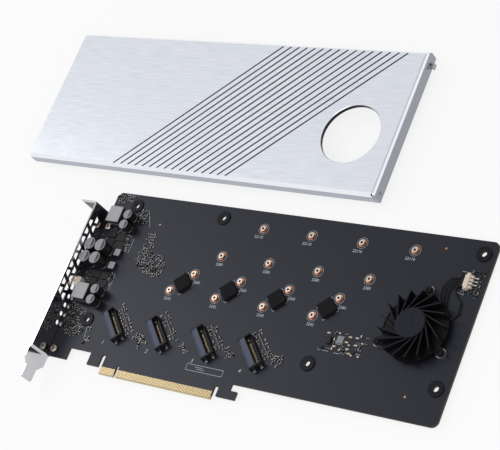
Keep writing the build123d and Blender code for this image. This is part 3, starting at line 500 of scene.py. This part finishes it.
# The round capacitors are drawn aluminium cans, dark lacquered round the side and crimped near
# the foot, on black plinths. A black segment on the bare top marks the negative side.
CAN_GROUPS = {
    # radius, height of the top and places
    "tall_capacitor_cans": (4.0, 10.5, ((-52.9, 77.4), (-44.4, 77.4),
                                        (-52.9, 68.6), (-44.4, 68.6))),
    "short_capacitor_cans": (3.15, 7.7, ((-36.2, 101.4), (-36.2, 94.5),
                                         (-36.1, 49.6), (-36.1, 42.6))),
}
for name, (radius, high, spots) in CAN_GROUPS.items():
    can_finish = Finish(name, paint(150, 147, 153), 0.35)
    drawn = can_finish.grain(1700.0, 3.0)
    grey = can_finish.colours(drawn, paint(122, 119, 125), paint(150, 148, 154))
    side = can_finish.along(2) < (high - 0.5) * MM
    mark = None
    for x, y in spots:
        away = (can_finish.along(0) - x * MM) > 0.38 * radius * MM
        out = (can_finish.along(0) - x * MM).length_with(can_finish.along(1) - y * MM)
        near = out < (radius - 0.4) * MM
        mark = away * near if mark is None else mark + away * near
    shown = can_finish.colours(mark, grey, paint(28, 28, 30))
    lacquer = can_finish.colours(drawn, paint(16, 16, 18), paint(27, 27, 30))
    can_finish.tint(side, shown, lacquer)
    can_finish.give("Roughness", 0.42 + drawn * 0.2 - side * 0.18)
    can_finish.relief(drawn, 0.01)
    can_finish.on(name)

# The power chips, the driver and its diode are moulded black packages on tinned leads. Each
# has a fine matte grain and a pin-one dimple, and their leads catch the light in rows.
chip_finish = Finish("chip_moulding", paint(22, 22, 25), 0.5, 0.0, {"Specular IOR Level": 0.25})
filler = chip_finish.grain(2200.0, 4.0)
chip_finish.tint(filler, paint(14, 14, 17), paint(30, 30, 34))
chip_finish.give("Roughness", 0.45 + filler * 0.2)
chip_finish.relief(filler, 0.02)
chip_finish.on("power_chips", "driver_diode")
driver_finish = Finish("driver_top", paint(120, 122, 128), 0.45)
driver_grain = driver_finish.grain(2200.0, 4.0)
driver_top = driver_finish.along(2) > 0.85 * MM
driver_grey = driver_finish.colours(driver_grain, paint(104, 106, 112), paint(134, 136, 142))
driver_finish.tint(driver_top, paint(34, 34, 37), driver_grey)
driver_finish.relief(driver_grain, 0.02)
driver_finish.on("driver_chip")
leg = block("leg", (0.5, 0.32, 0.16), (0.15, 0, 0.12), 0.03)
POWER_CHIPS = ((-47.3, 89.9), (-46.2, 84.1), (-38.9, 88.1), (-37.6, 82.8),
               (-46.2, 61.7), (-46.6, 56.3), (-38.7, 61.4), (-38.0, 55.9))
legs = []
for x, y in POWER_CHIPS:
    legs += [(x + 3.0, y - 1.9 + 0.63 * i, 0.0, 0.0) for i in range(7)]
    legs += [(x - 3.0, y - 1.9 + 0.63 * i, 0.0, 180.0) for i in range(7)]
DRIVER_X, DRIVER_Y, DRIVER_REACH = 140.8, 48.2, 2.1
for i in range(7):
    step = -1.8 + 0.6 * i
    legs += [(DRIVER_X + DRIVER_REACH, DRIVER_Y + step, 0.0, 0.0),
             (DRIVER_X - DRIVER_REACH, DRIVER_Y + step, 0.0, 180.0),
             (DRIVER_X + step, DRIVER_Y + DRIVER_REACH, 0.0, 90.0),
             (DRIVER_X + step, DRIVER_Y - DRIVER_REACH, 0.0, 270.0)]
dressed(set_out("chip_leads", leg, legs), tin_finish)
bpy.data.objects.remove(leg)

# The ceramic capacitors and resistors are the smallest parts: tan or black bodies with
# tinned ends, soldered in rows beside the sockets, by the fan driver and near the bracket.
ceramic_finish = Finish("tan_ceramic", paint(112, 98, 84), 0.5)
fired = ceramic_finish.grain(2500.0, 3.0)
by_driver = ((abs(ceramic_finish.along(0) - 143.0 * MM) < 16.0 * MM)
             * (abs(ceramic_finish.along(1) - 46.5 * MM) < 8.0 * MM))
brown = ceramic_finish.colours(fired, paint(60, 52, 44), paint(112, 98, 84))
cream = ceramic_finish.colours(fired, paint(176, 154, 128), paint(218, 202, 182))
ceramic_finish.tint(by_driver, brown, cream)
ceramic_finish.relief(fired, 0.02)
ceramic_finish.on("ceramic_capacitors")

cap_finish = Finish("small_part_ends", paint(160, 158, 154), 0.35, 1.0)
plating = cap_finish.grain(2400.0, 3.0)
cap_finish.tint(plating, paint(112, 110, 106), paint(204, 203, 200))
cap_finish.give("Roughness", 0.25 + plating * 0.25)
cap_finish.relief(plating, 0.02)


def small_part(name, long, wide, high, cap, body_finish):
    """A two-ended part: a body whose end faces are extruded into caps."""
    part = block(name, (long - 2 * cap, wide * 0.96, high * 0.96), (0, 0, high * 0.48))
    part.data.materials.append(body_finish.material)
    part.data.materials.append(cap_finish.material)
    for face in part.data.polygons:
        face.select = abs(face.normal.x) > 0.9
    bpy.ops.object.mode_set(mode="EDIT")
    bpy.ops.mesh.select_mode(type="FACE")
    part.active_material_index = 1
    bpy.ops.mesh.inset(thickness=0.0, use_outset=True)
    bpy.ops.mesh.extrude_faces_move(TRANSFORM_OT_shrink_fatten={"value": cap * MM})
    bpy.ops.mesh.select_more()
    bpy.ops.object.material_slot_assign()
    bpy.ops.object.mode_set(mode="OBJECT")
    for face in part.data.polygons:
        if abs(face.center.x) < (long / 2 - cap * 1.05) * MM:
            face.material_index = 0
    return part


ink_black = Finish("resistor_glaze", paint(14, 14, 16), 0.4, 0.0, {"Specular IOR Level": 0.2})
glaze = ink_black.grain(2600.0, 3.0)
ink_black.tint(glaze, paint(9, 9, 11), paint(21, 21, 24))
ink_black.relief(glaze, 0.01)
sight = bpy.context.evaluated_depsgraph_get()


def clear_board(x, y, reach, face=0.0, start=60.0):
    """True where nothing but the board's face lies under a small part's corners."""
    for dx, dy in ((0, 0), (-reach, -reach), (reach, -reach), (-reach, reach), (reach, reach)):
        place = Vector(((x + dx) * MM, (y + dy) * MM, start * MM))
        heading = Vector((0, 0, -1 if start > 0 else 1))
        struck, spot, *_ = bpy.context.scene.ray_cast(sight, place, heading)
        if not struck or abs(spot.z - face * MM) > 0.2 * MM:
            return False
    return True


def inside(x, y, outline):
    """Whether a point lies within an outline, by counting the edges to its right."""
    odd = False
    for (ax, ay), (bx, by) in zip(outline, outline[1:] + outline[:1]):
        if (ay > y) != (by > y) and x < ax + (y - ay) * (bx - ax) / (by - ay):
            odd = not odd
    return odd


CLUSTERS = (
    # outline on the board, share of the places that are filled
    (((-19.0, 94.0), (-13.6, 94.2), (-11.4, 87.0), (-10.8, 82.0), (-1.2, 80.0), (3.4, 74.4),
      (2.0, 66.4), (-5.2, 66.0), (-12.9, 68.0), (-21.2, 72.6), (-20.4, 80.7), (-19.9, 87.9)), 0.86),
    (((-55.6, 42.5), (-47.0, 40.4), (-40.6, 36.6), (-37.4, 31.0), (-37.8, 23.6), (-42.6, 18.4),
      (-50.4, 19.4), (-55.6, 24.0)), 0.9),
    (((-35.6, 29.4), (-31.0, 29.4), (-29.0, 17.4), (-33.6, 16.6)), 0.7),
    (((-55.4, 118.0), (-40.6, 118.0), (-40.6, 111.6), (-55.4, 111.6)), 0.85),
    (((-33.0, 108.6), (-25.4, 108.6), (-24.4, 98.6), (-31.6, 98.6)), 0.85),
    (((-55.4, 98.0), (-33.0, 98.0), (-30.6, 78.0), (-55.4, 78.0)), 0.7),
    (((-55.4, 66.0), (-31.6, 66.0), (-31.6, 52.0), (-55.4, 52.0)), 0.7),
    (((1.4, 26.6), (8.6, 20.6), (13.0, 24.4), (6.0, 31.4)), 0.8),
    (((66.6, 30.6), (72.6, 24.0), (77.4, 28.0), (70.6, 33.4)), 0.75),
    (((101.4, 32.2), (103.0, 24.2), (111.0, 26.4), (109.0, 33.4)), 0.75),
    (((35.0, 26.0), (41.0, 20.8), (45.0, 24.6), (39.4, 30.2)), 0.55),
    (((202.4, 101.4), (211.6, 101.4), (212.2, 84.0), (202.0, 84.6)), 0.5),
    (((129.6, 52.6), (157.6, 52.6), (157.6, 40.6), (129.6, 40.6)), 0.5),
)
COLUMN_STEP, LINE_STEP = 2.3, 1.95
random.seed(7)
tan_part = small_part("tan_part", 1.35, 0.72, 0.6, 0.24, ceramic_finish)
black_part = small_part("black_part", 1.45, 0.95, 0.55, 0.17, ink_black)
gate_body = block("gate", (1.7, 1.25, 0.8), (0, 0, 0.46), 0.08)
gate_leg = block("gate_leg", (0.32, 0.45, 0.2), (0, 0, 0.1), 0.04)
gate_legs = [(x, y, 0.0, 0.0) for x in (-0.55, 0.55) for y in (-0.8, 0.8)] + [(0.0, 0.8, 0.0, 0.0)]
gate_body.data.materials.append(ink_black.material)
gate_leg.data.materials.append(cap_finish.material)
gate = joined("gate", [gate_body, set_out("gate_legs", gate_leg, gate_legs)])
bpy.data.objects.remove(gate_leg)
tan_places, black_places, gate_places = [], [], []
for outline, share in CLUSTERS:
    lowest_x, lowest_y = min(x for x, y in outline), min(y for x, y in outline)
    highest_x, highest_y = max(x for x, y in outline), max(y for x, y in outline)
    for column in range(int((highest_x - lowest_x) / COLUMN_STEP) + 1):
        for line in range(int((highest_y - lowest_y) / LINE_STEP) + 1):
            x = lowest_x + (column + 0.5 * (line % 2)) * COLUMN_STEP + random.uniform(-0.35, 0.35)
            y = lowest_y + line * LINE_STEP + random.uniform(-0.3, 0.3)
            kept, kind = random.random() < share, random.random()
            turn = random.choice((0, 0, 90, 90, 45))
            if kept and kind > 0.87 and inside(x, y, outline) and clear_board(x, y, 1.1):
                gate_places.append((x, y, 0.0, turn))
            elif kept and inside(x, y, outline) and clear_board(x, y, 0.8):
                chosen = tan_places if kind < 0.22 else black_places
                chosen.append((x, y, 0.0, turn + random.uniform(-3, 3)))
for index in MODULES:
    for run, kinds in ((7.2, 9), (11.4, 9)):
        for i in range(kinds):
            aside = -10.8 + 21.6 * i / (kinds - 1) + random.uniform(-0.5, 0.5)
            x, y = by_module(index, run + random.uniform(-0.3, 0.3), aside)
            if random.random() < 0.7 and clear_board(x, y, 0.7):
                chosen = tan_places if random.random() < 0.3 else black_places
                chosen.append((x, y, 0.0, MODULE_TURN + 90 * (i % 2)))
dressed(set_out("tan_small_parts", tan_part, tan_places), ceramic_finish)
dressed(set_out("black_small_parts", black_part, black_places), ink_black)
dressed(set_out("gate_packages", gate, gate_places), ink_black)

# The board's other face carries the solder rings of the module nuts, and rows of small parts
# under the sockets and the power stage, no higher than the standing card leaves room for.
BOARD_BACK = -1.57
UNDER_RING_LOW = -1.62
RAY_START = -3.3
under_rings = [ring("under_ring", spot, 1.2, 2.5, UNDER_RING_LOW, BOARD_BACK) for spot in NUT_SPOTS]
dressed(joined("underside_rings", under_rings), tin_finish)
for part in (tan_part, black_part):
    part.data.transform(Matrix.Rotation(pi, 4, "X"))
under_tan, under_black = [], []
for index in MODULES:
    for run in (-5.5, 1.0, 7.5, 24.0):
        for i in range(10):
            x, y = by_module(index, run + random.uniform(-0.6, 0.6), -9.9 + 2.2 * i)
            if random.random() < 0.75 and clear_board(x, y, 0.8, BOARD_BACK, RAY_START):
                chosen = under_tan if i % 3 == 0 else under_black
                chosen.append((x, y, BOARD_BACK, MODULE_TURN + 90 * (i % 2)))
for x, y in POWER_CHIPS:
    for dx, dy in ((-3.6, -1.2), (-3.6, 1.2), (0.0, -1.4), (0.0, 1.4), (3.6, 0.0)):
        if clear_board(x + dx, y + dy, 0.8, BOARD_BACK, RAY_START):
            (under_tan if dx else under_black).append((x + dx, y + dy, BOARD_BACK, 90.0))
dressed(set_out("underside_tan_parts", tan_part, under_tan), ceramic_finish)
dressed(set_out("underside_black_parts", black_part, under_black), ink_black)
for part in (tan_part, black_part, gate):
    bpy.data.objects.remove(part)

# Pads of solder end the ceramic capacitors that the drawing places one by one. Each pad is a
# low fillet of bright tin against the part's end.
fillet_master = block("fillet", (0.5, 0.9, 0.5), (0, 0, 0.25), 0.15)
DRIVER_CAPS = ((132.2, 51.3), (146.4, 51.0), (150.8, 51.1), (151.4, 46.8), (145.1, 47.7),
               (138.3, 44.2), (147.0, 43.9), (148.9, 41.5))
CAP_END = 0.95
fillets = []
for x, y in DRIVER_CAPS:
    fillets += [(x - CAP_END, y, 0.0, 0.0), (x + CAP_END, y, 0.0, 0.0)]
for index in MODULES:
    for i in range(6):
        aside = (i - 2.5) * 3.1
        fillets += [(*by_module(index, 9.4, aside + end), 0.0, MODULE_TURN + 90)
                    for end in (-CAP_END, CAP_END)]
dressed(set_out("solder_fillets", fillet_master, fillets), cap_finish)
bpy.data.objects.remove(fillet_master)

# Status lamps and the fan switch sit at the board's edge behind the bracket. The lamps are
# dark grey packages with a cloudy grain, and the switch is cream nylon with a pinkish lever.
lamp_finish = Finish("lamp_body", paint(44, 46, 48), 0.2, 0.0, {"Coat Weight": 0.3})
cloudy = lamp_finish.grain(1500.0, 2.0)
lamp_finish.tint(cloudy, paint(30, 32, 34), paint(66, 68, 70))
lamp_finish.on("status_lamps")
cream_finish = Finish("cream_nylon", paint(216, 202, 188), 0.45)
flow = cream_finish.grain(900.0, 3.0)
cream_finish.tint(flow, paint(200, 184, 166), paint(226, 214, 202))
cream_finish.give("Roughness", 0.4 + flow * 0.15)
cream_finish.relief(flow, 0.02)
cream_finish.on("switch_body", "fan_header")
lever_finish = Finish("lever_nylon", paint(196, 172, 164), 0.45)
lever_flow = lever_finish.grain(1100.0, 3.0)
lever_finish.tint(lever_flow, paint(180, 154, 146), paint(210, 188, 180))
lever_finish.relief(lever_flow, 0.02)
lever_finish.on("switch_slider")

# The bracket is folded steel sheet, polished and nickel plated, so its inner face mirrors the
# dark board. The screws that hold it are cross-headed and zinc plated.
nickel_finish = Finish("polished_nickel", paint(196, 196, 200), 0.16, 1.0)
rolling = nickel_finish.grain(1.0, 3.0, (900.0, 40.0, 2600.0))
smudge = nickel_finish.grain(90.0, 3.0)
nickel = nickel_finish.colours(smudge, paint(186, 186, 190), paint(206, 206, 210))
# the walls of the vent holes are painted near black, as shade inside the holes
hole_wall_shade = (abs(nickel_finish.facing(0)) < 0.5) * (nickel_finish.along(0) < -56.0 * MM)
hole_wall_shade = hole_wall_shade * (abs(nickel_finish.along(1) - 72.0 * MM) < 50.0 * MM)
hole_wall_shade = hole_wall_shade * (abs(nickel_finish.along(2) - 7.2 * MM) < 6.3 * MM)
nickel_finish.tint(hole_wall_shade, nickel, paint(38, 38, 41))
nickel_finish.give("Roughness", 0.05 + rolling * 0.07 + smudge * 0.05)
nickel_finish.relief(rolling, 0.003)
nickel_finish.on("bracket")
zinc_finish = Finish("zinc_screw", paint(176, 160, 144), 0.2, 1.0)
zinc = zinc_finish.grain(1500.0, 3.0)
zinc_finish.tint(zinc, paint(84, 66, 54), paint(204, 196, 186))
zinc_finish.give("Roughness", 0.12 + zinc * 0.16)
zinc_finish.relief(zinc, 0.02)
zinc_finish.on("bracket_screws", "cover_end_screws")

# The fan is a flat blower: a dark moulded base with three ears, and a cup-shaped hub with
# seventeen straight blades. The hub's crown has a shallow groove and small dimples.
fan_finish = Finish("fan_moulding", paint(9, 9, 11), 0.42, 0.0, {"Specular IOR Level": 0.14})
fan_grain = fan_finish.grain(1500.0, 3.0)
fan_finish.tint(fan_grain, paint(5, 5, 7), paint(13, 13, 16))
fan_finish.give("Roughness", 0.36 + fan_grain * 0.16)
fan_finish.relief(fan_grain, 0.02)
fan_finish.on("fan_frame", "fan_screws")
standoff_finish = Finish("standoff_ring", paint(120, 120, 118), 0.35, 1.0)
turned = standoff_finish.grain(1.0, 1.0, (60.0, 60.0, 5000.0))
standoff_finish.tint(turned, paint(140, 140, 138), paint(210, 210, 208))
standoff_finish.relief(turned, 0.02)
standoff_finish.on("fan_standoffs")
FAN = (184.15, 61.9)
rotor_finish = Finish("rotor_moulding", paint(30, 31, 36), 0.38, 0.0,
                      {"Specular IOR Level": 0.17, "Specular Tint": (0.8, 0.85, 1.0, 1.0)})
rotor_grain = rotor_finish.grain(1500.0, 3.0)
from_axis = (rotor_finish.along(0) - FAN[0] * MM).length_with(rotor_finish.along(1) - FAN[1] * MM)
crown = (from_axis < 8.8 * MM) * (rotor_finish.along(2) > 9.2 * MM)
groove = abs(from_axis - 7.1 * MM) < 0.12 * MM
blade_tone = rotor_finish.colours(rotor_grain, paint(9, 9, 11), paint(17, 17, 20))
crown_tone = rotor_finish.colours(rotor_grain, paint(13, 14, 21), paint(24, 26, 34))
rotor_finish.tint(crown, blade_tone, crown_tone)
rotor_finish.give("Roughness", 0.34 + rotor_grain * 0.16)
rotor_finish.relief(rotor_grain * 0.1 - groove * crown, 0.12)
rotor_finish.on("fan_rotor")
bronze_finish = Finish("sintered_bronze", paint(150, 110, 74), 0.5, 1.0)
pores = bronze_finish.grain(4000.0, 3.0)
bronze_finish.tint(pores, paint(120, 84, 54), paint(172, 130, 92))
bronze_finish.relief(pores, 0.02)
bronze_finish.on("fan_bearing")
stack_finish = Finish("stator_stack", paint(120, 122, 126), 0.45, 0.9)
plates = stack_finish.grain(1.0, 1.0, (60.0, 60.0, 6000.0))
stack_finish.tint(plates, paint(92, 94, 98), paint(146, 148, 152))
stack_finish.relief(plates, 0.03)
stack_finish.on("fan_stator", "fan_shaft")
coil_finish = Finish("enamelled_wire", paint(168, 88, 46), 0.35, 0.8)
turns = coil_finish.grain(1.0, 1.0, (3000.0, 3000.0, 5000.0))
coil_finish.tint(turns, paint(130, 62, 30), paint(196, 110, 62))
coil_finish.relief(turns, 0.08)
coil_finish.on("fan_coils")
magnet_finish = Finish("bonded_magnet", paint(46, 42, 42), 0.6)
bonded = magnet_finish.grain(2400.0, 4.0)
magnet_finish.tint(bonded, paint(34, 31, 31), paint(62, 58, 57))
magnet_finish.relief(bonded, 0.03)
magnet_finish.on("fan_magnet")

# The fan's leads are thin black wires crimped in a black plug, which is pushed into the cream
# header. The header's tinned tails are soldered to the board.
lead_finish = Finish("wire_insulation", paint(10, 10, 11), 0.4, 0.0, {"Specular IOR Level": 0.2})
extruded = lead_finish.grain(1600.0, 2.0)
lead_finish.tint(extruded, paint(6, 6, 7), paint(15, 15, 17))
lead_finish.relief(extruded, 0.02)
lead_finish.on("fan_leads")
black_finish.on("fan_plug")
tin_finish.on("header_pins")

# The cover is formed from aluminium sheet, brushed along its length and anodised silver. Its
# grooves are milled through the brushed skin and are darker, partly in their own colour and
# partly as painted shade, with a dark seam at its right end. Its walls are painted darker as
# shade, its rounded edges lighter as a painted highlight, and its inner walls and the slit at
# its end near black as painted shade. The end plate is brushed across, with the same painted
# shade on its walls and a painted highlight on its upper bevel.
COVER_TOP = 10.0
COVER_RIGHT = 131.45
COVER_FRONT, COVER_BACK = 134.3, 227.1


def brushed(name, stretch):
    finish = Finish(name, paint(206, 210, 222), 0.4, 0.9)
    fine = finish.grain(1.0, 4.0, stretch)
    broad = finish.grain(1.0, 3.0, tuple(v * 0.22 for v in stretch))
    streaks = fine * 0.85 + broad * 0.15
    finish.give("Roughness", 0.17 + fine * 0.12)
    finish.relief(fine, 0.003)
    return finish, streaks


cover_finish, streaks = brushed("brushed_cover", (70.0, 2900.0, 2900.0))
face_tone = cover_finish.colours(streaks, paint(186, 190, 200), paint(236, 239, 246))
# the walls' tone is painted shade, and the rounded edges' tone a painted highlight
shaded_wall_tone = cover_finish.colours(streaks, paint(148, 152, 164), paint(186, 189, 200))
highlit_edge_tone = cover_finish.colours(streaks, paint(226, 229, 236), paint(244, 246, 250))
cover_tone = cover_finish.colours(cover_finish.facing(2) > 0.3, shaded_wall_tone, highlit_edge_tone)
cover_tone = cover_finish.colours(cover_finish.facing(2) > 0.9, cover_tone, face_tone)
middle_y, half_y = (COVER_FRONT + COVER_BACK) / 2, (COVER_BACK - COVER_FRONT - 0.2) / 2
face_y = abs(cover_finish.along(1) - middle_y * MM) < half_y * MM
sunk = ((cover_finish.along(2) < (COVER_TOP - 0.2) * MM)
        * (cover_finish.along(2) > (COVER_TOP - 0.9) * MM))
seam = cover_finish.along(0) > (COVER_RIGHT - 0.14) * MM
# the inner walls and the slit by the end are painted near black, as shade
shaded_inner_wall = face_y * (abs(cover_finish.along(0) - COVER_RIGHT * MM) > 2.6 * MM)
shaded_inner_wall = shaded_inner_wall * (abs(cover_finish.facing(2)) < 0.3)
shaded_slit = ((cover_finish.along(0) > (COVER_RIGHT - 0.9) * MM)
        * (cover_finish.along(1) < (COVER_FRONT - 0.4) * MM))
shaded_slit = shaded_slit * (cover_finish.along(2) > (COVER_TOP - 1.5) * MM)
# the grooves are darkened partly as painted shade; the seam is a dark joint
dark = (face_y * sunk + seam) > 0.5
cover_tone = cover_finish.colours(dark, cover_tone, paint(108, 113, 126))
cover_finish.tint((shaded_inner_wall + shaded_slit) > 0.5, cover_tone, paint(46, 47, 52))
cover_finish.on("cover_shell")
end_finish, streaks = brushed("brushed_end", (2600.0, 18.0, 2600.0))
# the walls are painted darker as shade, and the upper bevel lighter as a painted highlight
shaded_wall_tone = end_finish.colours(streaks, paint(136, 139, 148), paint(168, 170, 178))
highlit_bevel_tone = end_finish.colours(streaks, paint(232, 235, 242), paint(250, 251, 254))
flat_tone = end_finish.colours(streaks, paint(178, 182, 192), paint(208, 211, 219))
upper_bevel = (end_finish.facing(2) > 0.3) * (end_finish.along(2) > (COVER_TOP - 1.0) * MM)
end_tone = end_finish.colours(upper_bevel, shaded_wall_tone, highlit_bevel_tone)
end_finish.tint(end_finish.facing(2) > 0.9, end_tone, flat_tone)
end_finish.on("cover_end_plate")

# A black foam ring is stuck under the cover round the intake. It seals the cover to the fan,
# and shows as a dark crescent through the hole. Its lower edge is pressed a little round.
foam_finish = Finish("foam_ring", paint(20, 20, 22), 0.9, 0.0, {"Specular IOR Level": 0.1})
cells = foam_finish.grain(1800.0, 4.0)
foam_finish.tint(cells, paint(12, 12, 13), paint(30, 30, 33))
foam_finish.relief(cells, 0.06)
INTAKE = (102.15, 170.5)
foam = ring("intake_foam", INTAKE, 19.4, 21.4, 7.2, 8.5, 96)
alone(foam)
bpy.ops.object.mode_set(mode="EDIT")
bpy.ops.mesh.select_mode(type="EDGE")
bpy.ops.mesh.select_all(action="DESELECT")
bpy.ops.object.mode_set(mode="OBJECT")
for edge in foam.data.edges:
    edge.select = all(foam.data.vertices[v].co.z < 7.3 * MM for v in edge.vertices)
bpy.ops.object.mode_set(mode="EDIT")
bpy.ops.mesh.bevel(offset=0.2 * MM, segments=2, affect="EDGES")
bpy.ops.object.mode_set(mode="OBJECT")
dressed(foam, foam_finish)

# Inside the cover six turned posts are pressed into the sheet, and four soft thermal pads carry
# the modules' heat to it. The posts show fine lathe rings, and the pads are dull and putty-like.
post_finish = Finish("turned_post", paint(176, 178, 184), 0.35, 1.0)
rings_cut = post_finish.grain(1.0, 1.0, (40.0, 40.0, 5000.0))
post_finish.tint(rings_cut, paint(150, 152, 158), paint(200, 202, 208))
post_finish.relief(rings_cut, 0.02)
post_finish.on("cover_posts")
thermal_finish = Finish("thermal_pad", paint(112, 116, 124), 0.8)
putty = thermal_finish.grain(1100.0, 4.0)
thermal_finish.tint(putty, paint(98, 102, 110), paint(130, 134, 142))
thermal_finish.relief(putty, 0.05)
thermal_finish.on("thermal_pads")

# The studio is a pale floor and a white surround, with soft light from above and the left.
# The camera fits the card closely and gives way a little to the cover, which floats in the
# photograph and stands on the floor here.
FLOOR_GLOW = 0.82
SURROUND = 0.58
bpy.ops.object.select_all(action="DESELECT")
bpy.ops.mesh.primitive_plane_add(size=6.0, location=(0.05, 0.1, cad_box[0][2]))
floor = bpy.context.object
floor.name = "studio_floor"
floor_finish = Finish("pale_floor", (0.86, 0.86, 0.87), 0.9)
seen = floor_finish.node("ShaderNodeLightPath", take="Is Camera Ray")
shone = floor_finish.node("ShaderNodeLightPath", take="Is Glossy Ray")
glow = floor_finish.node("ShaderNodeEmission", None, {"Color": (1, 1, 1, 1), "Strength": 1.0})
surface = floor_finish.node("ShaderNodeMixShader", None, {
    0: (seen + shone) * FLOOR_GLOW, 1: Wire(floor_finish, floor_finish.shader.outputs[0]), 2: glow})
floor_finish.join(floor_finish.tree.nodes["Material Output"].inputs["Surface"], surface)
floor.data.materials.append(floor_finish.material)

world = bpy.data.worlds.new("studio_surround")
bpy.context.scene.world = world
world.use_nodes = True
backdrop = world.node_tree.nodes["Background"]
backdrop.inputs["Color"].default_value = (1.0, 1.0, 1.0, 1.0)
paths = world.node_tree.nodes.new("ShaderNodeLightPath")
strength = SURROUND
for ray in ("Is Camera Ray", "Is Glossy Ray", "Is Transmission Ray"):
    plain = world.node_tree.nodes.new("ShaderNodeMath")
    plain.operation = "MAXIMUM"
    plain.inputs[0].default_value = SURROUND
    if not isinstance(strength, float):
        world.node_tree.links.new(strength, plain.inputs[0])
    world.node_tree.links.new(paths.outputs[ray], plain.inputs[1])
    strength = plain.outputs[0]
world.node_tree.links.new(strength, backdrop.inputs["Strength"])


def soft_light(name, place, aim, size, power):
    bpy.ops.object.select_all(action="DESELECT")
    bpy.ops.object.light_add(type="AREA", location=place)
    light = bpy.context.object
    light.name = name
    light.data.shape = "RECTANGLE"
    light.data.size, light.data.size_y = size
    light.data.energy = power
    light.rotation_euler = (Vector(aim) - Vector(place)).to_track_quat("-Z", "Y").to_euler()


soft_light("key_light", (-1.0, 0.26, 1.0), (0.02, 0.06, 0.0), (0.3, 0.8), 3.8)
soft_light("top_light", (0.5, -0.7, 1.3), (0.05, 0.1, 0.0), (1.2, 1.2), 8.0)

CAMERA_PLACE = (601.84, -189.05, 681.28)
CAMERA_RIGHT = (0.79588, 0.36301, -0.48456)
CAMERA_UP = (-0.11132, 0.87442, 0.47223)
camera_data = bpy.data.cameras.new("photograph_camera")
camera_data.sensor_width = 36.0
camera_data.lens = 112.822
camera_data.clip_end = 20.0
camera = bpy.data.objects.new("photograph_camera", camera_data)
bpy.context.collection.objects.link(camera)
right, up = Vector(CAMERA_RIGHT).normalized(), Vector(CAMERA_UP)
back = right.cross(up).normalized()
up = back.cross(right)
turned = Matrix((right, up, back)).transposed().to_4x4()
camera.matrix_world = Matrix.Translation(Vector(CAMERA_PLACE) * MM) @ turned
bpy.context.scene.camera = camera
bpy.context.scene.view_settings.view_transform = "Standard"
